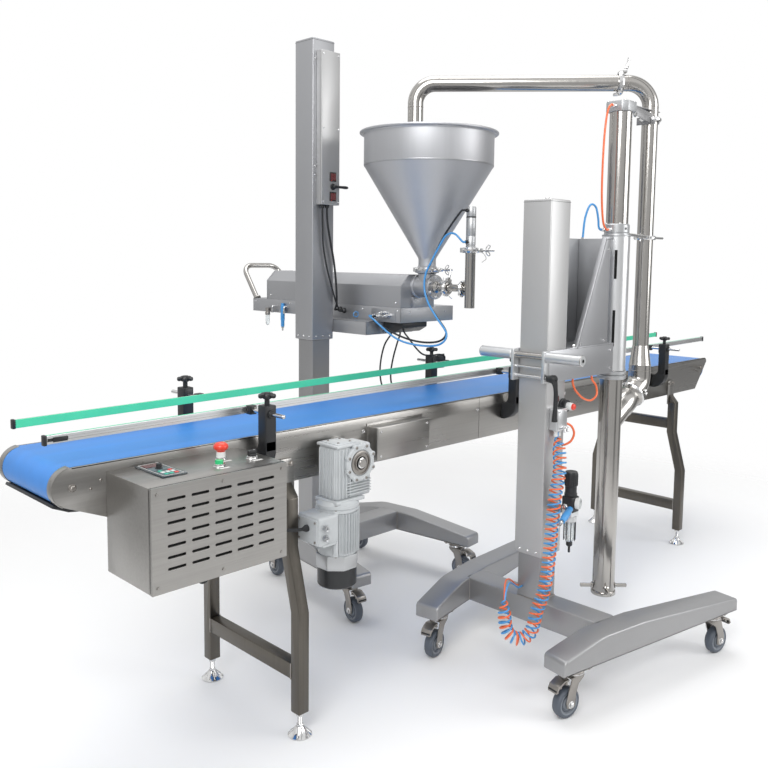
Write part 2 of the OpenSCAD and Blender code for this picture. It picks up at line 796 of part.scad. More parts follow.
module emergency_stop() place() color(red) translate([stop_at[0], stop_at[1], box_top_z]) {
    translate([0, 0, press_travel + over - button_hole]) cylinder(d = button_d,
        h = button_hole + stop_neck - press_travel);
    translate([0, 0, stop_neck]) cylinder(d1 = stop_cap_d * cap_foot_share, d2 = stop_cap_d,
        h = stop_cap_h * cap_low_share);
    translate([0, 0, stop_neck + stop_cap_h * cap_low_share])
        cylinder(d1 = stop_cap_d, d2 = stop_cap_d * cap_top_share, h = stop_cap_h * (1 - cap_low_share));
}
module start_button() place() color(green) translate([start_at[0], start_at[1],
    box_top_z + press_travel + over - button_hole])
    cylinder(d = button_d, h = button_hole + collar_h + start_cap_h - over);
module selector_knob() place() color(black) translate([select_at[0], select_at[1], box_top_z]) {
    translate([0, 0, over - button_hole]) cylinder(d = button_d,
        h = button_hole + collar_h + screw_h - over);
    translate([-knob_bar[0] / 2, -knob_bar[1] / 2, collar_h + screw_h]) cube(knob_bar);
}

// Worm gearbox and hanging motor
module gear_motor() place() {
    color([0.6, 0.62, 0.64]) difference() {
        union() {
            rod_y([drive_x, -gear_y1, drive_z], gear_r * 2, -gear_y0);
            rod_z([motor_x, -motor_y, worm_z0], worm_d, worm_z1);
            box([motor_x - flange_w / 2, -motor_y - flange_w / 2 + over, flange_z0],
                [motor_x + flange_w / 2, -gear_y0 - over, worm_z0]);
        }
        rod_y([drive_x, -gear_y1 - over, drive_z], drive_axle_d + 2 * fit, -gear_y0 + over);
    }
    color(light_grey) {
        rod_z([motor_x, -motor_y, motor_z0], motor_d - 2 * rib_out, flange_z0);
        for (a = [0 : 360 / rib_n : 359]) translate([motor_x, -motor_y, motor_z0 + rib_t]) rotate(a)
            translate([motor_d / 2 - 2 * rib_out, -rib_t / 2, 0])
            cube([2 * rib_out, rib_t, flange_z0 - motor_z0 - 2 * rib_t]);
        translate([terminal_x, terminal_y, terminal_z]) cube([motor_x - motor_d / 3 - terminal_x,
            terminal[1], terminal[2]]);
        for (s = terminal_gland_share) rod_y([terminal_x + s * terminal[0], terminal_y - gland_l,
            terminal_z + terminal[2] / 3], gland_d, terminal_y);
    }
    color(dull_steel) translate([motor_x, -motor_y,
        octagon_z0]) rotate(half_facet) cylinder(d = motor_d, h = motor_z0 + over - octagon_z0, $fn = 8);
    color(black) rod_z([motor_x, -motor_y, cowl_z0], motor_d * cowl_share, octagon_z0);
}

// Stands: drawn with forward along X, the left leg on +Y
module stand_leg(splay, gap, reach) translate([0, gap, 0]) rotate(splay) side_shape(0, stand_leg_w)
    polygon([[-rear_reach, caster_h], [reach, caster_h], [reach, caster_h + leg_end_h], [crown_reach,
        beam_top], [-crown_reach, beam_top],
        [-rear_reach, caster_h + leg_end_h]]);
// Swivel points of the four casters: left rear, left front, right rear, right front
function swivel(i, splay, gap, reach) = let (side = i < 2 ? 1 : -1,
    u = i % 2 == 0 ? swivel_inset - rear_reach : reach - swivel_inset,
    v = stand_leg_w / 2) [cos(splay) * u - sin(splay) * v, side * (gap + sin(splay) * u + cos(splay) * v)];
module stand(splay, gap, reach, column_shift, column_top) {
    beam_end = gap + tan(splay) * beam_w / 2 + over;
    difference() {
        union() {
            mirrored_y() stand_leg(splay, gap, reach);
            box([-beam_w / 2, -beam_end, beam_z], [beam_w / 2, beam_end, beam_top - over]);
        }
        for (i = [0 : 3]) {
            at = swivel(i, splay, gap, reach);
            rod_z([at[0], at[1], caster_h - over], king_d + 2 * fit, caster_h + king_h + over);
        }
    }
    translate([-column_w / 2, column_shift - column_w / 2, beam_top - join])
        cube([column_w, column_w, column_top - beam_top + join]);
}
// The depositor's stand faces the conveyor, the pump's stand faces along it
module dep_frame() { translate([dep_x + dep_base_shift, dep_y, 0]) rotate(-90) children(); }
module pump_frame() { translate([pump_x, -pump_y, 0]) children(); }
module depositor_stand() place() color(dull_steel)
    dep_frame() stand(dep_splay, dep_gap, dep_reach, -dep_base_shift,
        dep_top_z - cap_t - dep_lift_down - sleeve_wall);
module pump_stand() place() color(dull_steel)
    pump_frame() stand(pump_splay, pump_gap, pump_reach, 0,
        pump_top_z - cap_t - pump_lift_down - sleeve_wall);

// A caster at rest trails along its leg, towards the leg's end
module caster_at(n) {
    i = (n - 1) % 4;
    if (n <= 4) dep_frame() translate(concat(swivel(i, dep_splay, dep_gap, dep_reach), 0))
        rotate((i < 2 ? 1 : -1) * dep_splay + (i % 2 == 0 ? 180 : 0)) children();
    else pump_frame() translate(concat(swivel(i, pump_splay, pump_gap, pump_reach), 0))
        rotate((i < 2 ? 1 : -1) * pump_splay + (i % 2 == 0 ? 180 : 0)) children();
}
module fork(n) place() caster_at(n) color(dull_steel) {
    inner = wheel_w / 2 + cheek_gap;
    translate([0, 0, caster_h - fit * 2 - crown_h]) cylinder(d = crown_d, h = crown_h);
    translate([0, 0, caster_h - crown_h]) cylinder(d = king_d, h = crown_h + king_h);
    translate([0, -inner - cheek_t, caster_h - 2 * crown_h]) cube([trail, 2 * (inner + cheek_t),
        crown_h + over]);
    for (s = [-1, 1]) translate([0, s * (inner + cheek_t / 2) - cheek_t / 2, 0]) side_shape(0, cheek_t)
        polygon([[trail - cheek_w / 2, wheel_d / 2 - axle_head_d / 2], [trail + cheek_w / 2,
            wheel_d / 2 - axle_head_d / 2],
            [trail + cheek_w / 2, wheel_d / 2 + axle_head_d], [trail, caster_h - crown_h - over],
                [-cheek_w / 2, caster_h - crown_h - over],
            [-cheek_w / 2, caster_h - 2 * crown_h]]);
    rod_y([trail, -inner - cheek_t - axle_head_h, wheel_d / 2], axle_pin_d, inner + cheek_t + axle_head_h);
    for (s = [-1, 1]) rod_y([trail, s * (inner + cheek_t), wheel_d / 2], axle_head_d,
        s * (inner + cheek_t + axle_head_h));
    color(black) translate([trail, -brake[1] / 2, caster_h - 2 * crown_h - brake[2] + crown_h]) cube(brake);
}
module wheel(n) place() caster_at(n) translate([trail, 0, wheel_d / 2]) rotate([90, 0, 0]) difference() {
    union() {
        color(black) rotate_extrude() polygon([[0, -wheel_w / 2], [wheel_d / 2 - tread_r,
            -wheel_w / 2], [wheel_d / 2, tread_r - wheel_w / 2],
            [wheel_d / 2, wheel_w / 2 - tread_r], [wheel_d / 2 - tread_r, wheel_w / 2], [0, wheel_w / 2]]);
        color(light_grey) cylinder(d = hub_d, h = wheel_w + cheek_gap, center = true);
    }
    cylinder(d = axle_pin_d + 2 * fit, h = wheel_w + 2 * cheek_gap + 2 * over, center = true);
}

// A lift sleeve with a closed top, around the inner column
module sleeve(z0, z1) difference() {
    translate([-sleeve_w / 2, -sleeve_w / 2, z0]) cube([sleeve_w, sleeve_w, z1 - z0]);
    inner = column_w + 2 * slide_gap;
    translate([-inner / 2, -inner / 2, z0 - over]) cube([inner, inner, z1 - cap_t - z0 + over]);
}
module sleeve_screws(z) for (s = screw_row_share) {
    rod_x([-sleeve_w / 2 - screw_h, s * sleeve_w, z], screw_d, -sleeve_w / 2);
    rod_y([s * sleeve_w, -sleeve_w / 2 - screw_h, z], screw_d, -sleeve_w / 2);
}

// Depositor
module depositor_sleeve() place() color(steel) translate([dep_x, dep_y, 0]) {
    sleeve(dep_sleeve_z, dep_top_z);
    for (z = [dep_sleeve_z + screw_inset, tray_z - screw_inset]) sleeve_screws(z);
}
module depositor_controls() place() {
    face = dep_y - sleeve_w / 2;
    x0 = dep_x - case_w * case_left_share;
    color(light_grey) difference() {
        box([x0, face - case_d, case_z0], [x0 + case_w, face, case_z1]);
        rod_y([switch_x, face - case_d - over, switch_z], axle_pin_d + 2 * fit, face - display[1]);
    }
    color(black) {
        for (z = display_zs) box([switch_x - display[0] / 2, face - case_d - display[1],
            z - display[2] / 2],
            [switch_x + display[0] / 2, face - case_d, z + display[2] / 2]);
        for (s = case_gland_share) rod_z([x0 + s * case_w, face - case_d / 2, case_z0 - gland_l],
            gland_d, case_z0);
    }
}
module lever_switch() place() color(black) {
    face = dep_y - sleeve_w / 2 - case_d;
    rod_y([switch_x, face - boss_l, switch_z], axle_pin_d, face + case_d / 2);
    rod_y([switch_x, face - boss_l, switch_z], boss_d, face - fit);
    box([switch_x, face - boss_l - lever_w, switch_z - lever_w / 2], [switch_x + lever_l,
        face - boss_l + over, switch_z + lever_w / 2]);
}
// The tray's tube handle rises behind the cover and has a cross bar
module tray() place() {
    x1 = tray_x0 + tray_w;
    y1 = tray_y0 + tray_l;
    color(steel) difference() {
        box([tray_x0, tray_y0, tray_z0], [x1, y1, tray_z]);
        box([tray_x0 + sheet, tray_y0 + sheet, tray_z0 - over], [x1 - sheet, y1 - sheet, tray_z - sheet]);
    }
    color(steel) {
        box([dep_x + sleeve_w / 2, shelf_y0, shelf_z0], [tray_x0, dep_y + sleeve_w / 2,
            shelf_z0 + shelf_t]);
        box([tray_x0, shelf_y0, shelf_z0], [tray_x0 + cover_w, dep_y + sleeve_w / 2, tray_z0]);
    }
    color(dull_steel) tray_handle();
    color(black) {
        translate([hanger_x0, 0, 0]) end_shape(0, hanger[0]) polygon([[hanger_y0, tray_z0],
            [hanger_y0 + hanger[1], tray_z0],
            [hanger_y0 + hanger[1], tray_z0 - hanger[2]], [hanger_y0 + hanger_slope,
                tray_z0 - hanger[2]], [hanger_y0, tray_z0 - hanger[2] / 2]]);
        for (y = hose_port_ys) rod_x([tray_x0 - gland_d, y, hose_port_z], hose_port_d, tray_x0);
        for (i = [0, 1]) rod_x([tray_x0 - gland_l, case_port_ys[i], case_port_zs[i]], gland_d, tray_x0);
    }
    color(blue) rod_z([tray_x0 - gland_d / 2 + sheet, coupler_y, coupler_z0], gland_d, coupler_z1);
    color(dull_steel) rod_z([tray_x0 - filter_d / 2 + sheet, filter_y, filter_z0], filter_d,
        tray_z0 + filter_d);
}
// The handle is a bent tube in a plane that leans out past the tray's end
module bend(r, d, angle) rotate_extrude(angle = angle) translate([r, 0]) circle(d = d);
module tray_handle() {
    foot = tray_y0 + tray_l - handle_d / 2;
    rise = handle_z - tray_z;
    l = norm([handle_y - foot, rise]);
    x0 = tray_x0 + handle_d / 2 + sheet;
    translate([x0, foot, tray_z]) rotate([-atan2(handle_y - foot, rise), 0, 0]) {
        for (x = [0, handle_gap]) translate([x, 0, -sheet * 2]) cylinder(d = handle_d,
            h = l - handle_bend + sheet * 2);
        translate([handle_bend, 0, l]) rotate([0, 90, 0]) cylinder(d = handle_d,
            h = handle_gap - 2 * handle_bend);
        translate([handle_bend, 0, l - handle_bend]) rotate([90, 0, 0]) rotate(90) bend(handle_bend,
            handle_d, 90);
        translate([handle_gap - handle_bend, 0, l - handle_bend]) rotate([90, 0, 0]) bend(handle_bend,
            handle_d, 90);
    }
}
module cover_outline(inset) {
    s = cover_slant - inset / 2;
    polygon([[tray_x0 + inset, tray_z - (inset > 0 ? over : 0)], [tray_x0 + inset,
        cover_top - s - inset / 2], [tray_x0 + inset / 2 + s, cover_top - inset],
        [tray_x0 + cover_w - inset / 2 - s, cover_top - inset], [tray_x0 + cover_w - inset,
            cover_top - s - inset / 2], [tray_x0 + cover_w - inset, tray_z - (inset > 0 ? over : 0)]]);
}
module cylinder_cover() place() color(steel) difference() {
    side_shape(tray_y0, tray_y0 + cover_l) cover_outline(0);
    side_shape(tray_y0 + sheet, tray_y0 + cover_l - sheet) cover_outline(sheet);
    rod_y([product_x, tray_y0 - over, valve_z], plug_bore, tray_y0 + sheet + over);
}
module tube_y(y0, y1, d, bore) difference() {
    rod_y([product_x, y0, valve_z], d, y1);
    rod_y([product_x, y0 - over, valve_z], bore, y1 + over);
}
module cylinder_unit() place() {
    color(steel) tube_y(cylinder_y0, cylinder_y0 + cylinder_len, cylinder_d, cylinder_bore);
    color(light_grey) {
        tube_y(air_y0, air_y0 + air_len, cylinder_d - 4 * fit, air_bore);
        tube_y(air_y0 - air_head, air_y0, cylinder_d, rod2_d + 2 * fit);
        rod_y([product_x, air_y0 + air_len, valve_z], cylinder_d, air_y0 + air_len + air_head);
        for (s = [-1, 1]) rod_y([product_x + s * cylinder_d / 2, cylinder_y0 + saddle_l, valve_z],
            tie_rod_d, air_y0 + saddle_l);
    }
    color(dull_steel) difference() {
        for (y = [cylinder_y0 + saddle_l, cylinder_y0 + cylinder_len - saddle_l, air_y0 + saddle_l,
            air_y0 + air_len - saddle_l])
            box([product_x - saddle_w / 2, y - saddle_l / 2, tray_z], [product_x + saddle_w / 2,
                y + saddle_l / 2, valve_z]);
        rod_y([product_x, cylinder_y0, valve_z], cylinder_d - sheet, air_y0 + air_len);
    }
}
module piston_rod() place() color(light_grey) {
    rod_y([product_x, piston_y, valve_z], cylinder_bore - 2 * fit, piston_y + piston_t);
    rod_y([product_x, piston_y, valve_z], rod2_d, air_y0 + piston_t * 2);
    rod_y([product_x, air_y0 + piston_t, valve_z], air_bore - 2 * fit, air_y0 + piston_t * 2);
}
module manifold() place() color(steel) difference() {
    union() {
        rod_y([product_x, valve_y0, valve_z], valve_d, tray_y0);
        rod_y([product_x, valve_y0, valve_z], valve_disc_d, valve_y0 + valve_disc_t);
        rod_y([product_x, tray_y0 - valve_disc_t, valve_z], valve_disc_d, tray_y0);
        rod_z([product_x, hopper_y, valve_z], neck_d, neck_bottom + clamp_ring_h);
        rod_z([product_x, hopper_y, neck_bottom], clamp_ring_d, neck_bottom + clamp_ring_h);
        rod_y([product_x, branch_y, valve_z], port_d, valve_y0);
        rod_y([product_x, valve_y0 / 2, valve_z], port_ring_d, valve_y0 / 2 + port_ring_l);
        rod_y([product_x, branch_y, valve_z], port_ring_d, branch_y + port_ring_l);
    }
    rod_y([product_x, valve_y0 + plug_wall, valve_z], plug_bore, tray_y0 + over);
    rod_z([product_x, hopper_y, valve_z], neck_d - 2 * hopper_t - 2 * plug_wall,
        neck_bottom + clamp_ring_h + over);
    rod_y([product_x, branch_y - over, valve_z], inner_port_d, valve_y0 + plug_wall + over);
}
module hopper() place() color(steel) translate([product_x, hopper_y, 0]) {
    r = drum_d / 2;
    n = neck_d / 2;
    z0 = neck_bottom + clamp_ring_h;
    zd = rim_z - drum_h;
    rotate_extrude($fn = 64) polygon([[n - hopper_t, z0], [n, z0], [n, neck_z], [r, zd],
        [r, rim_z - rim_roll], [rim_d / 2, rim_z - rim_roll], [rim_d / 2, rim_z],
        [r - hopper_t, rim_z], [r - hopper_t, zd], [n - hopper_t, neck_z]]);
    difference() {
        rod_z([0, 0, z0], clamp_ring_d, z0 + clamp_ring_h);
        rod_z([0, 0, z0 - over], neck_d - hopper_t, z0 + clamp_ring_h + over);
    }
}
module spout() place() translate([product_x, -spout_y, 0]) {
    color(steel) difference() {
        union() {
            rod_z([0, 0, spout_z], spout_d, spout_body_z1);
            rod_y([0, 0, valve_z], port_d, spout_d / 2 + branch_l);
            rod_y([0, spout_d / 2 + branch_l - port_ring_l, valve_z], port_ring_d, spout_d / 2 + branch_l);
        }
        rod_z([0, 0, spout_z - over], spout_bore, spout_body_z1 - plug_wall);
        rod_y([0, 0, valve_z], inner_port_d, spout_d / 2 + branch_l + over);
        rod_z([0, 0, spout_z], port2_d + 2 * fit, spout_body_z1 + over);
    }
    color(light_grey) difference() {
        union() {
            rod_z([0, 0, spout_body_z1], air2_d, air2_z1);
            rod_z([0, 0, spout_body_z1], spout_clamp_d, spout_body_z1 + ring_h);
        }
        rod_z([0, 0, spout_body_z1 - over], air2_d - plug_wall, air2_z1 - plug_wall);
    }
    color(light_grey) difference() {
        rod_z([0, 0, spout_body_z1 - ring_h], spout_clamp_d, spout_body_z1);
        rod_z([0, 0, spout_body_z1 - ring_h - over], spout_d - over, spout_body_z1 + over);
    }
    color(dull_steel) {
        rod_x([-spout_clamp_d / 2 - wing_l, 0, spout_body_z1], port2_d, -spout_clamp_d / 2 + sheet);
        for (z = [spout_body_z1 + 2 * ring_h, air2_z1 - ring_h]) rod_x([-air2_d / 2 - port2_l, 0, z],
            port2_d, -air2_d / 2 + sheet);
    }
}
module plunger() place() color(light_grey) translate([product_x, -spout_y, 0]) {
    rod_z([0, 0, plunger_z], spout_bore - 2 * fit, plunger_z + ring_h);
    rod_z([0, 0, plunger_z], port2_d, spout_body_z1 + ring_h);
}

// Pump
module pump_sleeve() place() translate([pump_x, -pump_y, 0]) {
    color(light_grey) {
        sleeve(pump_sleeve_z, pump_top_z);
        sleeve_screws(pump_sleeve_z + screw_inset);
        rod_z([0, 0, pump_top_z], screw_d * 2, pump_top_z + screw_h * 2);
    }
    color(steel) translate([-valve_box_left, -sleeve_w / 2 - valve_box[1], valve_box_z]) cube(valve_box);
    color(black) {
        for (at = display2_at) translate([at[0], -sleeve_w / 2 - display2[1], at[1]]) cube(display2);
        difference() {
            rod_y([button2_x, -sleeve_w / 2 - housing2_l, button2_z], housing2_d, -sleeve_w / 2);
            rod_y([button2_x, -sleeve_w / 2 - housing2_l - over, button2_z], button2_d + 2 * fit, -sleeve_w / 2 - over);
        }
    }
}
module pump_bracket() place() {
    color(steel) {
        box([grip_x + clamp_bar_w / 2, -pump_y - sleeve_w / 2 - arm_t, arm_z0], [arm_x1,
            -pump_y - sleeve_w / 2, arm_z0 + arm_h]);
        box([grip_x + clamp_bar_w / 2, -pump_y + sleeve_w / 2, arm_z0], [arm_x1,
            -pump_y + sleeve_w / 2 + arm_t, arm_z0 + arm_h]);
        box([pump_x + sleeve_w / 2, -pump_y + sleeve_w / 2, arm_z0 + arm_h], [arm_x1,
            -pump_y + sleeve_w / 2 + arm_t, gusset_top]);
        side_shape(-pump_y - sleeve_w / 2 - arm_t, -pump_y - sleeve_w / 2)
            polygon([[arm_x1 - gusset_l, arm_z0 + arm_h], [arm_x1, arm_z0 + arm_h], [arm_x1, gusset_top]]);
        box([arm_x1 - arm_t, -pump_y - sleeve_w / 2, arm_z0], [arm_x1, -pump_y + sleeve_w / 2, gusset_top]);
    }
    color(light_grey) difference() {
        box([tube_x - house_w / 2, -pump_y - house_w / 2, tube_top + ring_h * 2],
            [tube_x + house_w / 2, -pump_y + house_w / 2, house_z1]);
        box([tube_x - house_w / 2 + house_wall, -pump_y - house_w / 2 + house_wall,
            tube_top + ring_h * 2 + house_wall],
            [tube_x + house_w / 2 - house_wall, -pump_y + house_w / 2 - house_wall, house_z1 - house_wall]);
        rod_z([tube_x, -pump_y, tube_top], rod2_d * 2, house_z1 + over);
        for (z = slot_zs) {
            box([tube_x - slot_w / 2, -pump_y - house_w, z[0]], [tube_x + slot_w / 2, -pump_y, z[1]]);
            box([tube_x - house_w, -pump_y - slot_w / 2, z[0]], [tube_x, -pump_y + slot_w / 2, z[1]]);
        }
    }
}
module pump_cylinder() place() {
    color(light_grey) difference() {
        union() {
            box([tube_x - head_w / 2, -pump_y - head_w / 2, house_z1], [tube_x + head_w / 2,
                -pump_y + head_w / 2, house_z1 + lower_head_h]);
            rod_z([tube_x, -pump_y, house_z1], air_d, air_z1);
            box([tube_x - head_w / 2, -pump_y - head_w / 2, air_z1], [tube_x + head_w / 2,
                -pump_y + head_w / 2, air_z1 + top_head_h]);
        }
        rod_z([tube_x, -pump_y, house_z1 + lower_head_h], air_bore, air_z1);
        rod_z([tube_x, -pump_y, house_z1 - over], rod2_d + 2 * fit, house_z1 + lower_head_h + over);
    }
    color(steel) {
        box([tube_x + head_w / 2, -pump_y - slot_w, air_z1 + sheet], [pipe_x - pipe_d / 2 - ring_over - fit,
            -pump_y + slot_w, air_z1 + sheet * 3]);
        for (at = [[0, house_z1 + lower_head_h / 2], [second_port, house_z1 + lower_head_h / 2], [0,
            air_z1 + top_head_h / 2]])
            rod_x([tube_x - head_w / 2 - port2_l, at[0] - pump_y, at[1]], port2_d, tube_x - head_w / 2);
    }
}
module pump_rod() place() color(light_grey) {
    rod_z([tube_x, -pump_y, tube_z + bar_foot_l], rod2_d, house_z1 + lower_head_h + piston_t * 2);
    rod_z([tube_x, -pump_y, house_z1 + lower_head_h + piston_t], air_bore - 2 * fit,
        house_z1 + lower_head_h + piston_t * 2);
    rod_z([tube_x, -pump_y, tube_z + bar_foot_l], tube_d - 2 * tube_wall - 2 * fit,
        tube_z + bar_foot_l + piston_t);
}
module product_tube() place() color(steel) {
    lateral = [tube_x, -pump_y, lateral_z];
    difference() {
        union() {
            rod_z([tube_x, -pump_y, tube_z], tube_d, tube_top + ring_h * 2);
            rod_z([tube_x, -pump_y, tube_z], tube_d + ring_over, tube_z + ring_h);
            rod_z([tube_x, -pump_y, tube_top], tube_d + ring_over * 2, tube_top + ring_h * 2);
            translate(lateral) rotate([0, lateral_tilt, 0]) cylinder(d = lateral_d, h = lateral_l);
            translate(lateral) rotate([0, lateral_tilt, 0]) translate([0, 0,
                lateral_l - ring_h]) cylinder(d = lateral_d + ring_over * 2, h = ring_h);
        }
        rod_z([tube_x, -pump_y, tube_z - over], tube_d - 2 * tube_wall, tube_top);
        rod_z([tube_x, -pump_y, tube_top - over], rod2_d + 2 * fit, tube_top + ring_h * 2 + over);
        translate(lateral) rotate([0, lateral_tilt, 0]) cylinder(d = pipe_d - 2 * tube_wall,
            h = lateral_l + over);
    }
    for (a = [0, 90]) translate([tube_x, -pump_y, tube_z + ring_h * 2]) rotate(45 + a) for (s = [-1, 1])
        translate([s * (tube_d / 2 - tube_wall / 2), 0, 0]) rotate([0, s * 90,
            0]) cylinder(d = bar_foot_d, h = (bar_foot_l - tube_d) / 2);
}
// Transfer pipe: up from the lateral port, over the hopper and down into it
module bead(d) { translate([0, 0, -bead_w / 2]) cylinder(d = d + pipe_wall, h = bead_w); }
module pipe_run(d, d_low) {
    run = [drop_x - pipe_x, drop_y + pump_y];
    away = atan2(run[1], run[0]);
    reach = norm(run);
    // The low bend leaves the lateral port and turns upright under the reducer
    meet = pipe_reach / sin(lateral_tilt);
    touch = lateral_bend_r * tan(lateral_tilt / 2);
    meet_z = lateral_z + pipe_reach / tan(lateral_tilt);
    translate([tube_x, -pump_y, lateral_z]) rotate([0, lateral_tilt, 0]) translate([0, 0, lateral_l])
        cylinder(d = d_low, h = meet - touch - lateral_l);
    translate([pipe_x - lateral_bend_r, -pump_y, meet_z + touch]) rotate([90, 0,
        0]) rotate(-lateral_tilt) bend(lateral_bend_r, d_low, lateral_tilt);
    rod_z([pipe_x, -pump_y, meet_z + touch], d_low, reducer_z0);
    translate([pipe_x, -pump_y, meet_z + touch]) bead(d_low);
    translate([tube_x, -pump_y, lateral_z]) rotate([0, lateral_tilt, 0]) translate([0, 0,
        meet - touch]) bead(d_low);
    translate([pipe_x, -pump_y, reducer_z0]) cylinder(d1 = d_low, d2 = d, h = reducer_h);
    rod_z([pipe_x, -pump_y, reducer_z0 + reducer_h], d, pipe_z - elbow_r);
    translate([pipe_x, -pump_y, pipe_z - elbow_r]) rotate(away) {
        translate([elbow_r, 0, 0]) rotate([90, 0, 0]) rotate(90) bend(elbow_r, d, 90);
        translate([elbow_r, 0, elbow_r]) rotate([0, 90, 0]) cylinder(d = d, h = reach - 2 * elbow_r);
        bead(d);
        for (x = [elbow_r, reach - elbow_r]) translate([x, 0, elbow_r]) rotate([0, 90, 0]) bead(d);
        translate([elbow_r + top_clamp_x, 0, elbow_r]) rotate([0, 90,
            0]) cylinder(d = d + ring_over * 2, h = ring_h);
        translate([reach, 0, 0]) bead(d);
        translate([reach - elbow_r, 0, 0]) rotate([90, 0, 0]) bend(elbow_r, d, 90);
        translate([reach, 0, drop_z - pipe_z + elbow_r]) cylinder(d = d, h = pipe_z - elbow_r - drop_z);
    }
}
module transfer_pipe() place() color(steel) difference() {
    union() {
        pipe_run(pipe_d, lateral_d);
        for (z = riser_clamps) rod_z([pipe_x, -pump_y, z], pipe_d + ring_over * 2, z + ring_h);
    }
    rod_z([drop_x, drop_y, drop_z - over], pipe_d - 2 * pipe_wall, pipe_z - elbow_r);
}
module grip_frame() place() {
    color(steel) rod_y([grip_x, -grip_near, grip_z], grip_bar_d, -grip_far);
    color(light_grey) for (y = [-grip_near, -grip_l - grip_far]) rod_y([grip_x, y, grip_z], grip_d, y + grip_l);
    color(steel) for (y = [-pump_y - sleeve_w / 2, -pump_y + sleeve_w / 2 + arm_t]) difference() {
        box([grip_x - clamp_bar_w / 2, y - arm_t, arm_z0], [grip_x + clamp_bar_w / 2, y, arm_z0 + arm_h]);
        rod_y([grip_x, y - arm_t - over, lower_rod_z], lower_rod_d + 2 * fit, y + over);
    }
}
// The ratchet lever turns the lower rod, which clamps the two flats to the sleeve
module clamp_lever() place() {
    color(steel) rod_y([grip_x, -lever_y, lower_rod_z], lower_rod_d,
        -pump_y + sleeve_w / 2 + arm_t + rod_proud);
    color(black) {
        rod_y([grip_x, -lever_y - lever2_d, lower_rod_z], lever2_d, -lever_y);
        box([grip_x - lever2_d / 2, -lever_y - lever2_d, lower_rod_z - lever2_l],
            [grip_x + lever2_d / 2, -lever_y - lever2_d / 2, lower_rod_z]);
    }
}
module air_unit() place() {
    w = unit_w / 2;
    color(steel) box([unit_x - w, -unit_y + w, unit_arm_z], [unit_x + w, -pump_y - sleeve_w / 2,
        unit_arm_z + unit_arm_t]);
    color(black) rod_z([unit_x, -unit_y, unit_knob_z], unit_w, unit_z1);
    color(light_grey) box([unit_x - w, -unit_y - w, unit_bowl_z], [unit_x + w, -unit_y + w, unit_knob_z]);
    color(steel) rod_z([unit_x, -unit_y, unit_z0], unit_w, unit_bowl_z);
}
module valve_button() place() color(red) {
    face = -pump_y - sleeve_w / 2 - housing2_l;
    rod_y([pump_x + button2_x, face - button2_l, button2_z], button2_d, face + housing2_l - press_travel - 2 * over);
}

// Cords: a smooth line through the route's points, and a tube of triangles along it
function curve(p, n) = [for (i = [0 : len(p) - 2], k = [0 : n - 1]) let (t = k / n,
    a = i > 0 ? p[i - 1] : 2 * p[0] - p[1], b = p[i],
    c = p[i + 1], d = i < len(p) - 2 ? p[i + 2] : 2 * c - b)
    0.5 * (2 * b + t * (c - a) + t * t * (2 * a - 5 * b + 4 * c - d) + t * t * t * (3 * b - a - 3 * c +
        d)), p[len(p) - 1]];
function carried(dirs, out) = len(out) == len(dirs) ? out : let (v = out[len(out) - 1], t = dirs[len(out)])
    carried(dirs, concat(out, [unit(v - (v * t) * t)]));
module tube_along(p, d, sides) {
    n = len(p);
    dirs = [for (i = [0 : n - 1]) unit(p[min(i + 1, n - 1)] - p[max(i - 1, 0)])];
    across = carried(dirs, [unit(cross(dirs[0], abs(dirs[0][0]) > 0.7 ? [0, 0, 1] : [1, 0, 0]))]);
    rings = [for (i = [0 : n - 1], k = [0 : sides - 1]) p[i] + d / 2 * (cos(360 * k / sides) *
        across[i] + sin(360 * k / sides) * cross(dirs[i], across[i]))];
    walls = [for (i = [0 : n - 2], k = [0 : sides - 1]) let (a = i * sides + k,
        b = i * sides + (k + 1) % sides)
        each [[a, a + sides, b], [b, a + sides, b + sides]]];
    ends = [for (k = [1 : sides - 2]) each [[0, k, k + 1], [(n - 1) * sides, (n - 1) * sides + k + 1,
        (n - 1) * sides + k]]];
    polyhedron(rings, concat(walls, ends));
}
module cord(path, d) tube_along(curve(path, cord_steps), d, cord_sides);
module depositor_hoses() place() {
    color(black) cord(black_hose_path, hose_d);
    color(blue) cord(blue_hose_path, hose_d);
    color(black) cord(case_cable_path, case_cable_d);
    color(light_grey) cord(thin_cable_path, cable_d);
}
module tray_cables() place() color(black) {
    cord(left_cable_path, cable_d);
    cord(right_cable_path, cable_d);
    cord(sensor_cable_path, cable_d);
}
module pump_hoses() place() {
    color(orange) for (path = [arm_loop_path, box_loop_path, cylinder_hose_path]) cord(path, hose_d);
    color(blue) cord(plate_hose_path, hose_d);
}
module motor_cable() place() color(black) {
    cord(motor_cable_path, motor_cable_d);
    cord(plug_loop_path, motor_cable_d);
}
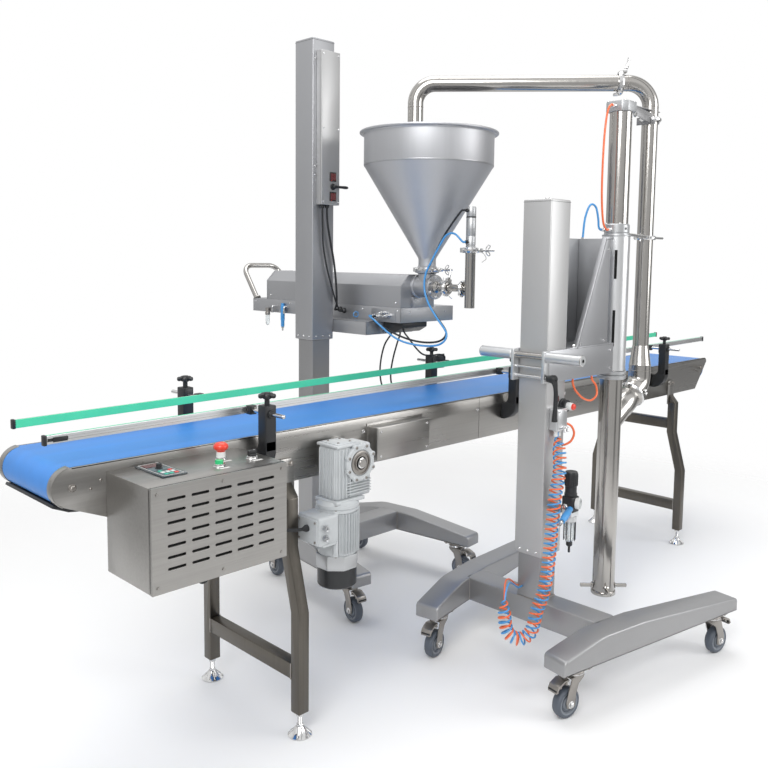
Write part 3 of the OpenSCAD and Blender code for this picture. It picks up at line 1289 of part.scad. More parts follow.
// The coiled pair: two tubes that wind round one line, half a turn apart, with straight ends side by side
function running(p) = [for (i = 0, s = 0; i < len(p); i = i + 1,
    s = s + (i < len(p) ? norm(p[i] - p[i - 1]) : 0)) s];
function tables(p, runs) = [for (axis = [0 : 2]) [for (i = [0 : len(p) - 1]) [runs[i], p[i][axis]]]];
function eased(x) = let (t = max(0, min(1, x))) t * t * (3 - 2 * t);
function coil_strand(table, l, phase) = let (wound = l - coil_lead - coil_tail,
    n = coil_curls * rings_per_curl,
    stops = concat([0, coil_lead / 2], [for (i = [0 : n]) coil_lead + i / n * wound],
        [for (i = [1 : coil_tail_rings]) l - coil_tail + i / coil_tail_rings * coil_tail]))
    [for (s = stops) let (a = max(s - coil_d, 0), b = min(s + coil_d, l),
        c = [for (t = table) lookup(s, t)],
        d = unit([for (t = table) lookup(b, t) - lookup(a, t)]),
            u = unit(coil_normal - (coil_normal * d) * d), v = cross(d, u),
        turn = 360 * coil_curls * max(0, min(1, (s - coil_lead) / wound)) + phase,
        r = coil_end_r + (coil_r - coil_end_r) * eased((s - coil_lead) / coil_ease) * eased((l -
            coil_tail - s) / coil_ease))
        c + r * (cos(turn) * u + sin(turn) * v)];
module coil_hoses() place() {
    line = curve(coil_path, 4);
    runs = running(line);
    table = tables(line, runs);
    one = coil_strand(table, runs[len(runs) - 1], coil_start_turn);
    two = coil_strand(table, runs[len(runs) - 1], coil_start_turn + 180);
    last = len(one) - 1;
    self_gap = min([for (i = [0 : 3 : last - 5], j = [i + 5 : last]) norm(one[i] - one[j])]) - coil_d;
    pair_gap = min([for (i = [0 : 3 : last], j = [0 : last]) norm(one[i] - two[j])]) - coil_d;
    echo(coil_least_self_gap = self_gap, coil_least_pair_gap = pair_gap, coil_length = runs[len(runs) - 1]);
    color(orange) tube_along(one, coil_d, coil_sides);
    color(blue) tube_along(two, coil_d, coil_sides);
}

conveyor_frame();
belt();
leg_frames();
levelling_feet();
rail_brackets();
control_box();
control_cover();
gear_motor();
motor_cable();
tail_roller();
drive_roller();
end_roller();
back_rail();
front_rail();
emergency_stop();
start_button();
selector_knob();
depositor_stand();
depositor_sleeve();
depositor_controls();
lever_switch();
tray();
cylinder_cover();
cylinder_unit();
piston_rod();
manifold();
hopper();
spout();
plunger();
depositor_hoses();
tray_cables();
pump_stand();
pump_sleeve();
pump_bracket();
pump_cylinder();
pump_rod();
product_tube();
transfer_pipe();
grip_frame();
clamp_lever();
air_unit();
valve_button();
pump_hoses();
coil_hoses();
fork(1);  // fork_1
fork(2);  // fork_2
fork(3);  // fork_3
fork(4);  // fork_4
fork(5);  // fork_5
fork(6);  // fork_6
fork(7);  // fork_7
fork(8);  // fork_8
wheel(1);  // wheel_1
wheel(2);  // wheel_2
wheel(3);  // wheel_3
wheel(4);  // wheel_4
wheel(5);  // wheel_5
wheel(6);  // wheel_6
wheel(7);  // wheel_7
wheel(8);  // wheel_8
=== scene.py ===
import math

import bmesh
import bpy
from bpy.props import FloatProperty, FloatVectorProperty, IntProperty, PointerProperty
from bpy.types import Operator, Panel, PropertyGroup
from mathutils import Matrix, Vector


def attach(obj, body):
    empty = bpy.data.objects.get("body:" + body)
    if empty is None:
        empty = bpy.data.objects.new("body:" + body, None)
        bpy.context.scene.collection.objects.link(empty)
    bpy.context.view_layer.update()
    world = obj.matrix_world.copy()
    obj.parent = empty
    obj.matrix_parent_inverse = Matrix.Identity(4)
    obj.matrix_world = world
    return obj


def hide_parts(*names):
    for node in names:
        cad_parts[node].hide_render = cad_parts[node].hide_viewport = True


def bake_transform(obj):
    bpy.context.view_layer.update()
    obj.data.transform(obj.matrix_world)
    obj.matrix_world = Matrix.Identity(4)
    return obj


bl_info = {
    "name": "Cake depositor line",
    "version": (1, 0, 0),
    "blender": (4, 5, 0),
    "location": "3D View > Sidebar > Depositor line",
    "description": "Builds the looks of a belt conveyor, a wheeled depositor and a wheeled transfer pump",
    "category": "Object",
}

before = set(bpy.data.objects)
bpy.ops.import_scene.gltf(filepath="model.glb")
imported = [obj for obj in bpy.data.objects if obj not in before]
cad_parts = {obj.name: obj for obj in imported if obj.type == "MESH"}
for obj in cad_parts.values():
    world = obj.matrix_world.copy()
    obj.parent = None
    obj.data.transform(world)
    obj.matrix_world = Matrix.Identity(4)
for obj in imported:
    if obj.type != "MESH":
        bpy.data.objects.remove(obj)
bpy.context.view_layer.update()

# Pieces are drawn in millimetres: X along the belt from the first leg frame, Y from the belt's middle
LINE_ORIGIN = Vector((-1111.5, -197.117, 0.0))
TO_FRAME = Matrix.Scale(0.001, 4) @ Matrix.Translation(LINE_ORIGIN)
CARRIED_NODES = {
    "control_cover": "box steel", "cylinder_unit": "pipe steel", "piston_rod": "chrome", "plunger": "chrome",
    "pump_rod": "chrome", "tail_roller": "pipe steel", "drive_roller": "pipe steel",
    "end_roller": "pipe steel",
}
UP, DOWN = (0, 0, 1), (0, 0, -1)
FRONT, BACK = (0, -1, 0), (0, 1, 0)
RIGHT, LEFT = (1, 0, 0), (-1, 0, 0)

# The camera that was fitted to the photo: its place in metres, its angles in degrees, its centre in pixels
EYE = (-2.6301, -2.3225, 1.4568)
YAW, PITCH, ROLL = 44.7, -5.6, 0.7
PICTURE_PX = 768
CENTRE_PX = (393.2, 339.7)
SENSOR = 36.0
LAMPS_LOOK_AT = (0.1, 0.1, 1.0)
FLOOR_REACH = 30
FLOOR_FADE = (1.9, 3.6)


def length(name, description, size):
    """A property for a size, given in millimetres and kept in metres"""
    return FloatProperty(name=name, description=description, default=size / 1000, min=0.0, unit="LENGTH",
                         precision=4)


def colour(name, description, rgb):
    """A property for a colour"""
    return FloatVectorProperty(name=name, description=description, default=rgb, size=3, min=0.0, max=1.0,
                               subtype="COLOR")


class LineStage(PropertyGroup):
    """Light, floor and camera"""
    floor: colour("Floor", "Colour of the studio floor", (0.93, 0.93, 0.93))
    room: FloatProperty(name="Room light", description="Strength of the room's light on the machine",
                        default=0.60, min=0.0)
    key: FloatProperty(name="Key light", description="Power of the large lamp at the left", default=150.0,
                       min=0.0, unit="POWER")
    fill: FloatProperty(name="Fill light", description="Power of the large lamp at the right", default=95.0,
                        min=0.0, unit="POWER")
    top: FloatProperty(name="Top light", description="Power of the lamp overhead", default=105.0, min=0.0,
                       unit="POWER")
    focal_px: FloatProperty(name="Focal length", description="Focal length in pixels of a 768 pixel picture",
                            default=826.7)


class LineColours(PropertyGroup):
    """Colours of the finishes"""
    satin: colour("Satin sheet", "Satin stainless sheet of columns, tray and hopper", (0.43, 0.435, 0.45))
    conveyor: colour("Conveyor steel", "Brushed steel of the conveyor", (0.36, 0.35, 0.335))
    box: colour("Box steel", "Brushed steel of the control box", (0.37, 0.36, 0.345))
    frame_tube: colour("Frame tube", "Square tube of the leg frames", (0.135, 0.124, 0.108))
    stand: colour("Stand steel", "Bead blasted steel of the wheeled stands", (0.36, 0.36, 0.365))
    pump_grey: colour("Pump column", "Light satin grey of the pump's column", (0.52, 0.52, 0.52))
    pipe: colour("Pipe steel", "Polished pipe", (0.46, 0.445, 0.425))
    belt: colour("Belt", "Blue belt", (0.045, 0.235, 0.66))
    guide: colour("Guide strip", "Green plastic of the guide rails", (0.08, 0.66, 0.36))
    alloy: colour("Alloy", "Aluminium of the rails and heads", (0.72, 0.73, 0.74))
    paint: colour("Motor paint", "Paint of the gear motor", (0.56, 0.585, 0.60))
    black: colour("Black plastic", "Moulded black plastic", (0.012, 0.013, 0.015))
    tread: colour("Wheel tread", "Grey rubber of the wheels", (0.085, 0.10, 0.125))
    red: colour("Red", "Emergency stop and push valve", (0.75, 0.05, 0.025))
    button_green: colour("Button green", "Start button", (0.02, 0.45, 0.16))
    orange: colour("Orange hose", "Orange air hose", (0.85, 0.16, 0.05))
    blue: colour("Blue hose", "Blue air hose and couplers", (0.06, 0.30, 0.66))


class ConveyorSizes(PropertyGroup):
    """Sizes of the conveyor"""
    belt_top: length("Belt height", "Height of the belt's top above the floor", 936)
    half_width: length("Half width", "Half of the width over the side plates", 168)
    plate_height: length("Plate height", "Height of a side plate", 161)
    belt_width: length("Belt width", "Width of the belt", 318)
    bend: length("Belt bend", "Outer radius of the belt at its ends", 51)
    tail: length("Tail", "Distance of the tail roller before the first leg frame", 658)
    end: length("End", "Distance of the end roller past the first leg frame", 2850)
    leg_tube: length("Leg tube", "Width of the square leg tube", 40)


class StandSizes(PropertyGroup):
    """Sizes of the wheeled stands"""
    column: length("Column", "Width of the inner column", 95)
    sleeve: length("Sleeve", "Width of a lift sleeve", 116)
    leg: length("Leg", "Width of a stand's leg", 94)
    wheel: length("Wheel", "Diameter of a caster wheel", 100)
    edge: length("Folded edge", "Radius of a folded edge on the columns", 4)


class DepositorSizes(PropertyGroup):
    """Sizes of the depositor"""
    rim: length("Hopper rim", "Diameter of the hopper's rim", 564)
    drum: length("Hopper drum", "Diameter of the hopper's drum", 528)
    tray_top: length("Tray height", "Height of the tray's top", 1256)
    handle: length("Handle tube", "Diameter of the tray's handle", 25)
    valve: length("Valve body", "Diameter of the valve body", 88)
    spout: length("Outlet tube", "Diameter of the outlet tube", 40)


class PumpSizes(PropertyGroup):
    """Sizes of the transfer pump"""
    tube: length("Product tube", "Diameter of the product tube", 88)
    pipe: length("Transfer pipe", "Diameter of the transfer pipe", 63.5)
    air: length("Air cylinder", "Diameter of the air cylinder", 84)
    grip: length("Grip", "Diameter of a grip on the handle bar", 40)
    curls: IntProperty(name="Curls", description="Curls of the coiled pair of hoses", default=27, min=4)


def mm(size):
    """A size property in millimetres"""
    return size * 1000


class Term:
    """One value in a shader, so that shader maths reads as Python"""

    def __init__(self, nodes, socket):
        self.nodes, self.socket = nodes, socket

    def sum(self, operation, a, b):
        return self.nodes.sum(operation, a, b)

    def __add__(self, other):
        return self.sum("ADD", self, other)

    __radd__ = __add__

    def __sub__(self, other):
        return self.sum("SUBTRACT", self, other)

    def __rsub__(self, other):
        return self.sum("SUBTRACT", other, self)

    def __mul__(self, other):
        return self.sum("MULTIPLY", self, other)

    __rmul__ = __mul__

    def __truediv__(self, other):
        return self.sum("DIVIDE", self, other)

    def __pow__(self, other):
        return self.sum("POWER", self, other)

    def half_sine(self):
        """Size of the sine of half of this angle"""
        return self.sum("ABSOLUTE", self.sum("SINE", self * 0.5, 0.0), 0.0)


class Nodes:
    """A node tree that is filled by expressions"""

    def __init__(self, tree):
        self.tree = tree
        tree.nodes.clear()

    def node(self, kind, settings=None, sockets=None, out=0):
        """Adds a node: its settings first, then the values or links of its sockets"""
        made = self.tree.nodes.new(kind)
        for key, value in (settings or {}).items():
            if key == "stops":
                for element, (place, shade) in zip(made.color_ramp.elements, value):
                    element.position, element.color = place, (*shade, 1.0)
            else:
                setattr(made, key, value)
        for key, value in (sockets or {}).items():
            self.join(value, made.inputs[key])
        return Term(self, made.outputs[out])

    def sum(self, operation, a, b):
        return self.node("ShaderNodeMath", {"operation": operation}, {0: a, 1: b})

    def join(self, value, socket):
        if isinstance(value, Term):
            self.tree.links.new(value.socket, socket)
        else:
            socket.default_value = value

    def mix(self, share, a, b):
        """A colour between a and b"""
        a, b = ((*c, 1.0) if isinstance(c, tuple) and len(c) == 3 else c for c in (a, b))
        return self.node("ShaderNodeMix", {"data_type": "RGBA"}, {0: share, 6: a, 7: b}, out=2)

    def place(self, stretch):
        spot = self.node("ShaderNodeTexCoord", out="Object")
        return self.node("ShaderNodeMapping", None, {"Vector": spot, "Scale": stretch})

    def noise(self, stretch, scale=1.0, detail=3.0, rough=0.5):
        sockets = {"Vector": self.place(stretch), "Scale": scale, "Detail": detail, "Roughness": rough}
        return self.node("ShaderNodeTexNoise", None, sockets)

    def bump(self, height, strength, distance):
        return self.node("ShaderNodeBump", None,
                         {"Height": height, "Strength": strength, "Distance": distance})


class Finish(Nodes):
    """A material: fixed values on the shader's sockets, varying ones fed by nodes"""

    def __init__(self, name, fixed):
        material = bpy.data.materials.new(name)
        material.use_nodes = True
        super().__init__(material.node_tree)
        self.shader = self.tree.nodes.new("ShaderNodeBsdfPrincipled")
        self.output = self.tree.nodes.new("ShaderNodeOutputMaterial")
        self.tree.links.new(self.shader.outputs[0], self.output.inputs[0])
        self.feed(fixed)

    def feed(self, looks):
        for name, value in looks.items():
            self.join((*value, 1.0) if isinstance(value, tuple) and len(value) == 3 else value,
                      self.shader.inputs[name])


def polar(r, a, h=0.0):
    """A point at a radius, an angle in radians and a height"""
    return Vector((r * math.cos(a), r * math.sin(a), h))


def shade(rgb, factor):
    return tuple(min(1.0, c * factor) for c in rgb)


def brushed(name, rgb, roughness, grain, depth=0.25, streaks=0.10):
    """Stainless sheet with fine drawn lines along one axis, soft clouds and faint rub marks"""
    f = Finish(name, {"Metallic": 1.0})
    fine = f.noise(tuple(7.0 if i == grain else 900.0 for i in range(3)), detail=2.0)
    line = f.noise(tuple(1.4 if i == grain else 150.0 for i in range(3)), detail=4.0, rough=0.65)
    cloud = f.noise((1.0, 1.0, 1.0), scale=2.6, detail=4.0)
    rub = f.noise((1.0, 1.0, 1.0), scale=17.0, detail=6.0, rough=0.7)
    share = (line - 0.5) * 1.5 + (cloud - 0.5) * 1.1 + 0.5
    f.feed({
        "Base Color": f.mix(share, shade(rgb, 1.0 - streaks), shade(rgb, 1.0 + streaks)),
        "Roughness": roughness + (line - 0.5) * 0.16 + (cloud - 0.5) * 0.14 + (rub - 0.5) * 0.06,
        "Normal": f.bump(fine * 0.5 + line * 0.5, depth, 0.0006),
    })


def blasted(name, rgb, roughness, metallic=1.0):
    """Bead blasted or satin metal: an even fine grain with soft clouds"""
    f = Finish(name, {"Metallic": metallic})
    grain = f.noise((1.0, 1.0, 1.0), scale=900.0, detail=2.0)
    cloud = f.noise((1.0, 1.0, 0.7), scale=3.2, detail=5.0)
    handled = f.noise((1.0, 1.0, 1.0), scale=14.0, detail=5.0, rough=0.7)
    f.feed({
        "Base Color": f.mix(cloud * 1.3 - 0.15, shade(rgb, 0.93), shade(rgb, 1.06)),
        "Roughness": roughness + (cloud - 0.5) * 0.12 + (handled - 0.5) * 0.10,
        "Normal": f.bump(grain, 0.12, 0.0005),
    })


def polished(name, rgb, roughness, grain=2):
    """Polished pipe with faint lines along it and water marks"""
    f = Finish(name, {"Metallic": 1.0})
    line = f.noise(tuple(0.8 if i == grain else 210.0 for i in range(3)), detail=3.0)
    mark = f.noise((1.0, 1.0, 1.0), scale=9.0, detail=6.0, rough=0.65)
    f.feed({
        "Base Color": f.mix(line * 0.6 + mark * 0.5, shade(rgb, 0.86), shade(rgb, 1.08)),
        "Roughness": roughness + (mark - 0.5) * 0.12 + (line - 0.5) * 0.08,
        "Normal": f.bump(line, 0.10, 0.0005),
    })


def moulded(name, rgb, roughness, coat=0.0, pores=420.0, depth=0.25):
    """Moulded plastic or rubber: a fine sparked grain, scuffs that dull it and a little dust"""
    f = Finish(name, {"Coat Weight": coat, "Coat Roughness": 0.15, "Specular IOR Level": 0.45})
    grain = f.noise((1.0, 1.0, 1.0), scale=pores, detail=2.0)
    scuff = f.noise((1.0, 1.0, 1.0), scale=22.0, detail=6.0, rough=0.7)
    dust = f.noise((1.0, 1.0, 0.4), scale=7.0, detail=4.0)
    f.feed({
        "Base Color": f.mix(dust * 0.9 + scuff * 0.3 - 0.1, shade(rgb, 0.85),
                            tuple(min(1.0, c * 1.15 + 0.006) for c in rgb)),
        "Roughness": roughness + (scuff - 0.5) * 0.22,
        "Normal": f.bump(grain, depth, 0.0004),
    })


def belt_finish(name, rgb):
    """Belt cover: a woven back that just shows, rub lanes along the belt and flour haze"""
    f = Finish(name, {"Coat Weight": 0.08, "Coat Roughness": 0.35, "Specular IOR Level": 0.4})
    weave = f.node("ShaderNodeTexBrick", {"offset": 0.5},
                   {"Vector": f.place((420.0, 420.0, 420.0)), "Scale": 1.0,
                   "Color1": (1.0, 1.0, 1.0, 1.0), "Color2": (0.8, 0.8, 0.8, 1.0),
                   "Mortar": (0.3, 0.3, 0.3, 1.0)}, out=1)
    lanes = f.noise((0.7, 26.0, 26.0), detail=3.0)
    haze = f.noise((1.0, 1.0, 1.0), scale=6.0, detail=6.0, rough=0.6)
    f.feed({
        "Base Color": f.mix(lanes * 0.8 + haze * 0.6 - 0.2, shade(rgb, 0.88),
                            tuple(c * 1.12 + 0.012 for c in rgb)),
        "Roughness": 0.42 + (haze - 0.5) * 0.2 + (lanes - 0.5) * 0.1,
        "Normal": f.bump(weave, 0.06, 0.0004),
    })


def enamel(name, rgb):
    """Sprayed paint on a casting, with orange peel and darker patches at random"""
    f = Finish(name, {"Coat Weight": 0.25, "Coat Roughness": 0.3})
    peel = f.noise((1.0, 1.0, 1.0), scale=240.0, detail=2.0)
    cast = f.noise((1.0, 1.0, 1.0), scale=40.0, detail=5.0)
    soot = f.noise((1.0, 1.0, 1.0), scale=12.0, detail=5.0, rough=0.7)
    f.feed({
        "Base Color": f.mix(soot * 1.4 - 0.3, shade(rgb, 0.80), shade(rgb, 1.05)),
        "Roughness": 0.38 + (cast - 0.5) * 0.2,
        "Normal": f.bump(peel * 0.5 + cast * 0.5, 0.3, 0.0006),
    })


def clear_bowl(name):
    """Clear plastic with a faint blue cast and condensate streaks"""
    f = Finish(name, {"Transmission Weight": 0.75, "IOR": 1.45, "Specular IOR Level": 0.5})
    streak = f.noise((60.0, 60.0, 6.0), detail=3.0)
    f.feed({"Base Color": f.mix(streak, (0.72, 0.78, 0.80), (0.92, 0.95, 0.96)),
            "Roughness": 0.12 + streak * 0.15})


def screen(name, glow):
    """Small dark display behind clear film, its segments faintly lit and without figures"""
    f = Finish(name, {"Coat Weight": 0.6, "Coat Roughness": 0.08, "Emission Strength": 0.25})
    bars = f.node("ShaderNodeTexBrick", {"offset": 0.0},
                  {"Vector": f.place((120.0, 120.0, 120.0)), "Scale": 1.0,
                  "Color1": (0.02, 0.02, 0.02, 1.0), "Color2": (0.05, 0.05, 0.05, 1.0),
                  "Mortar": (0.0, 0.0, 0.0, 1.0)}, out=1)
    haze = f.noise((1.0, 1.0, 1.0), scale=60.0)
    f.feed({"Base Color": f.mix(haze, (0.02, 0.015, 0.018), (0.05, 0.03, 0.035)),
            "Emission Color": f.mix(bars, glow, (0.0, 0.0, 0.0)), "Roughness": 0.2 + haze * 0.1})


class Workpiece:
    """A mesh in the making, in millimetres, that ends as one named piece on a body"""

    def __init__(self, name, body, *nodes, slot=None):
        self.name, self.body, self.nodes, self.slot = name, body, nodes, slot
        self.mesh, self.finishes, self.index = bmesh.new(), [], 0
        self.turn = Matrix.Identity(4)

    def paint(self, finish):
        if finish not in self.finishes:
            self.finishes.append(finish)
        self.index = self.finishes.index(finish)
        return self

    def stand_at(self, matrix):
        self.turn = matrix
        return self

    def take(self, part):
        for face in part.faces:
            face.material_index = self.index
            face.smooth = True
        part.transform(self.turn)
        mesh = bpy.data.meshes.new("part")
        part.to_mesh(mesh)
        part.free()
        self.mesh.from_mesh(mesh)
        bpy.data.meshes.remove(mesh)
        return self

    def join(self, part, a, b):
        """Faces between two closed rows of equally many corners"""
        for i in range(len(a)):
            j = (i + 1) % len(a)
            part.faces.new((a[i], a[j], b[j], b[i]))

    def box(self, low, high, edge=1.0, steps=2):
        """A block with rounded edges"""
        part = bmesh.new()
        bmesh.ops.create_cube(part, size=1.0)
        for v in part.verts:
            v.co = Vector([min(low[i], high[i]) if v.co[i] < 0 else max(low[i], high[i]) for i in range(3)])
        edge = min(edge, 0.45 * min(abs(high[i] - low[i]) for i in range(3)))
        if edge > 0:
            bmesh.ops.bevel(part, geom=part.edges[:], offset=edge, segments=steps, profile=0.5,
                            affect="EDGES")
        return self.take(part)

    def prism(self, outline, axis, low, high, edge=0.0, steps=2):
        """An outline drawn out along an axis, with its sharp edges rounded"""
        spot = {"x": lambda u, v, w: (w, u, v), "y": lambda u, v, w: (u, w, v), "z": lambda u, v,
                w: (u, v, w)}[axis]
        part = bmesh.new()
        ends = [[part.verts.new(spot(u, v, w)) for u, v in outline] for w in (low, high)]
        part.faces.new(ends[0])
        part.faces.new(ends[1][::-1])
        self.join(part, *ends)
        bmesh.ops.recalc_face_normals(part, faces=part.faces[:])
        if edge > 0:
            sharp = [e for e in part.edges if e.calc_face_angle(0.0) > 0.5]
            bmesh.ops.bevel(part, geom=sharp, offset=edge, segments=steps, profile=0.5, affect="EDGES")
        return self.take(part)

    def turned(self, base, axis, profile, turns=48, start=0.0, sweep=360.0, loop=False, spin=0.0):
        """A profile of (radius, height) turned about an axis"""
        part = bmesh.new()
        full = sweep >= 360.0
        count = turns if full else max(2, round(turns * sweep / 360))
        rings = []
        for r, h in profile:
            if r < 1e-6:
                rings.append([part.verts.new((0.0, 0.0, h))])
                continue
            steps = range(count if full else count + 1)
            angles = [math.radians(start + spin + sweep * i / count) for i in steps]
            rings.append([part.verts.new(polar(r, a, h)) for a in angles])
        for a, b in list(zip(rings, rings[1:])) + ([(rings[-1], rings[0])] if loop else []):
            for i in range(count):
                j = (i + 1) % max(len(a), len(b))
                if len(a) > 1 and len(b) > 1:
                    part.faces.new((a[i], a[j], b[j], b[i]))
                elif len(a) > 1:
                    part.faces.new((a[i], a[j], b[0]))
                elif len(b) > 1:
                    part.faces.new((a[0], b[j], b[i]))
        bmesh.ops.recalc_face_normals(part, faces=part.faces[:])
        part.transform(Matrix.Translation(base) @ Vector(axis).to_track_quat("Z", "Y").to_matrix().to_4x4())
        return self.take(part)

    def rod(self, start, end, d, edge=0.8, turns=40, bore=0.0, spin=0.0):
        """A turned rod or tube with chamfered ends"""
        axis = Vector(end) - Vector(start)
        h, r = axis.length, d / 2
        e = min(edge, r * 0.4, h * 0.4)
        profile = [(bore / 2, 0), (r - e, 0), (r, e), (r, h - e), (r - e, h), (bore / 2, h)]
        return self.turned(start, axis, profile, turns, loop=bore > 0, spin=spin)

    def ring(self, centre, axis, across, thick, turns=40):
        """A round ring of wire"""
        r, t = across / 2 - thick / 2, thick / 2
        arc = [(r + t * math.cos(a * math.pi / 5), t * math.sin(a * math.pi / 5)) for a in range(10)]
        return self.turned(centre, axis, arc, turns, loop=True)

    def tube(self, points, d, sides=16, closed=False):
        """A round bar along a line of points; d is a number or one for each point"""
        part = bmesh.new()
        points = [Vector(p) for p in points]
        n = len(points)
        widths = d if isinstance(d, (list, tuple)) else [d] * n
        along = []
        for i in range(n):
            a, b = (points[i - 1], points[(i + 1) % n]) if closed else (points[max(i - 1, 0)],
                                                                        points[min(i + 1, n - 1)])
            along.append((b - a).normalized())
        across = along[0].orthogonal().normalized()
        rings = []
        for p, t, w in zip(points, along, widths):
            across = (across - across.dot(t) * t).normalized()
            other = t.cross(across)
            turns = [2 * math.pi * k / sides for k in range(sides)]
            rings.append([part.verts.new(p + w / 2 * (math.cos(a) * across + math.sin(a) * other)) for a in turns])
        pairs = list(zip(rings, rings[1:])) + ([(rings[-1], rings[0])] if closed else [])
        for a, b in pairs:
            self.join(part, a, b)
        if not closed:
            part.faces.new(rings[0][::-1])
            part.faces.new(rings[-1])
        bmesh.ops.recalc_face_normals(part, faces=part.faces[:])
        return self.take(part)

    def band(self, outer, inner, low, high):
        """A closed strip between two outlines in X and Z, from low to high along Y"""
        part = bmesh.new()
        rows = [[part.verts.new((u, y, v)) for u, v in line] for line, y in
                ((outer, low), (outer, high), (inner, high), (inner, low))]
        for a, b in zip(rows, rows[1:] + rows[:1]):
            self.join(part, a, b)
        bmesh.ops.recalc_face_normals(part, faces=part.faces[:])
        return self.take(part)

    def loft(self, sections):
        """A skin over sections of equally many points, closed at both ends"""
        part = bmesh.new()
        rows = [[part.verts.new(p) for p in section] for section in sections]
        for a, b in zip(rows, rows[1:]):
            self.join(part, a, b)
        part.faces.new(rows[0][::-1])
        part.faces.new(rows[-1])
        bmesh.ops.recalc_face_normals(part, faces=part.faces[:])
        return self.take(part)

    def screw(self, at, axis, d=9.0, h=3.0):
        """A pan head with a socket"""
        profile = [(0, h * 0.4), (d * 0.22, h * 0.4), (d * 0.24, h), (d * 0.36, h), (d * 0.47, h * 0.7),
                   (d / 2, h * 0.3), (d / 2, 0)]
        return self.turned(at, axis, profile, 20)

    def bolt(self, at, axis, d=16.0, h=8.0):
        """A hexagon head on a washer"""
        self.turned(at, axis, [(0, 1.6), (d * 0.68, 1.6), (d * 0.72, 1.2), (d * 0.72, 0)], 24)
        profile = [(0, h), (d * 0.40, h), (d * 0.5, h * 0.82), (d * 0.5, 1.5)]
        return self.turned(at, axis, profile, 6)

    def wing_nut(self, at, axis, side, size=26.0):
        """A nut with two loops of bent wire"""
        axis, side = Vector(axis).normalized(), Vector(side).normalized()
        at = Vector(at)
        self.rod(at, at + axis * size * 0.45, size * 0.5, turns=20)
        for s in (-1, 1):
            loop = [at + axis * size * a + side * s * size * b for a, b in
                    ((0.08, 0.15), (0.16, 0.5), (0.5, 0.86), (0.76, 0.76), (0.66, 0.4), (0.36, 0.18))]
            self.tube(rounded(loop, size * 0.12, closed=True), size * 0.15, 8, closed=True)
        return self

    def clamp(self, centre, axis, d, side, size=1.0, nut=True):
        """A two part pipe clamp: a grooved ring, its hinge, its swing bolt and its wing nut"""
        centre, axis, side = Vector(centre), Vector(axis).normalized(), Vector(side).normalized()
        r, w = d / 2, 8.5 * size
        profile = [(r, -w), (r + 8 * size, -w), (r + 12 * size, -w * 0.35), (r + 12 * size, w * 0.35),
                   (r + 8 * size, w), (r, w)]
        self.turned(centre, axis, profile, 40, loop=True)
        across = axis.cross(side)
        for s in (-1, 1):
            lug = centre + side * (r + 12 * size) + across * s * 9 * size
            self.rod(lug - axis * w * 0.8, lug + axis * w * 0.8, 13 * size, turns=16)
            hinge = centre - side * (r + 11 * size) + across * s * 6 * size
            self.rod(hinge - axis * w * 0.9, hinge + axis * w * 0.9, 10 * size, turns=16)
        if nut:
            at = centre + side * (r + 10 * size)
            self.rod(at, at + side * 52 * size, 7 * size, turns=12)
            self.rod(at + side * 4 * size, at + side * 14 * size, 15 * size, turns=6)
            self.wing_nut(at + side * 22 * size, side, across if abs(across.z) > 0.5 else Vector(UP),
                          21 * size)
        return self

    def finish(self, sharp=32.0):
        """Ends the mesh as an object that rides on its body and stands for its CAD nodes"""
        mesh = bpy.data.meshes.new(self.name)
        self.mesh.to_mesh(mesh)
        self.mesh.free()
        mesh.transform(TO_FRAME)
        mesh.set_sharp_from_angle(angle=math.radians(sharp))
        piece = bpy.data.objects.new(self.name, mesh)
        bpy.context.scene.collection.objects.link(piece)
        for name in self.finishes:
            mesh.materials.append(bpy.data.materials[name])
        if self.body:
            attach(piece, self.body)
        if self.nodes:
            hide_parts(*self.nodes)
        return piece


def rounded(corners, radius, closed=False, steps=8):
    """The points of a line through corners, each rounded with a radius"""
    corners = [Vector(c).to_3d() for c in corners]
    radii = radius if isinstance(radius, (list, tuple)) else [radius] * len(corners)
    n, out = len(corners), []
    for i, c in enumerate(corners):
        if not closed and i in (0, n - 1):
            out.append(c)
            continue
        a, b = corners[i - 1] - c, corners[(i + 1) % n] - c
        angle = a.angle(b)
        if math.pi - angle < 1e-3:
            out.append(c)
            continue
        cut = min(radii[i] / math.tan(angle / 2), a.length * 0.49, b.length * 0.49)
        r = cut * math.tan(angle / 2)
        a.normalize()
        b.normalize()
        middle = c + (a + b).normalized() * (r / math.sin(angle / 2))
        u = c + a * cut - middle
        v = c + b * cut - middle
        turn = u.angle(v)
        for k in range(steps + 1):
            s = k / steps
            out.append(middle + (math.sin((1 - s) * turn) * u + math.sin(s * turn) * v) / math.sin(turn))
    return out


def smooth(path, steps):
    """A smooth line through the points of a route"""
    p = [Vector(q) for q in path]
    out = []
    for i in range(len(p) - 1):
        a = p[i - 1] if i else 2 * p[0] - p[1]
        b, c = p[i], p[i + 1]
        d = p[i + 2] if i < len(p) - 2 else 2 * c - b
        for k in range(steps):
            t = k / steps
            out.append(0.5 * (2 * b + t * (c - a) + t * t * (2 * a - 5 * b + 4 * c - d)
                              + t ** 3 * (3 * b - a - 3 * c + d)))
    return out + [p[-1]]


def arc(centre, r, a0, a1, steps=24):
    return [(centre[0] + r * math.cos(math.radians(a0 + (a1 - a0) * i / steps)),
             centre[1] + r * math.sin(math.radians(a0 + (a1 - a0) * i / steps))) for i in range(steps + 1)]


def lower_touch(a, ra, b, rb):
    """Touch points of the straight line under two circles, from circle a to circle b, and its angle"""
    a, b = Vector(a), Vector(b)
    d = b - a
    u = d.normalized()
    k = (ra - rb) / d.length
    n = k * u + math.sqrt(1 - k * k) * Vector((u.y, -u.x))
    return a + ra * n, b + rb * n, math.degrees(math.atan2(n.y, n.x)) % 360


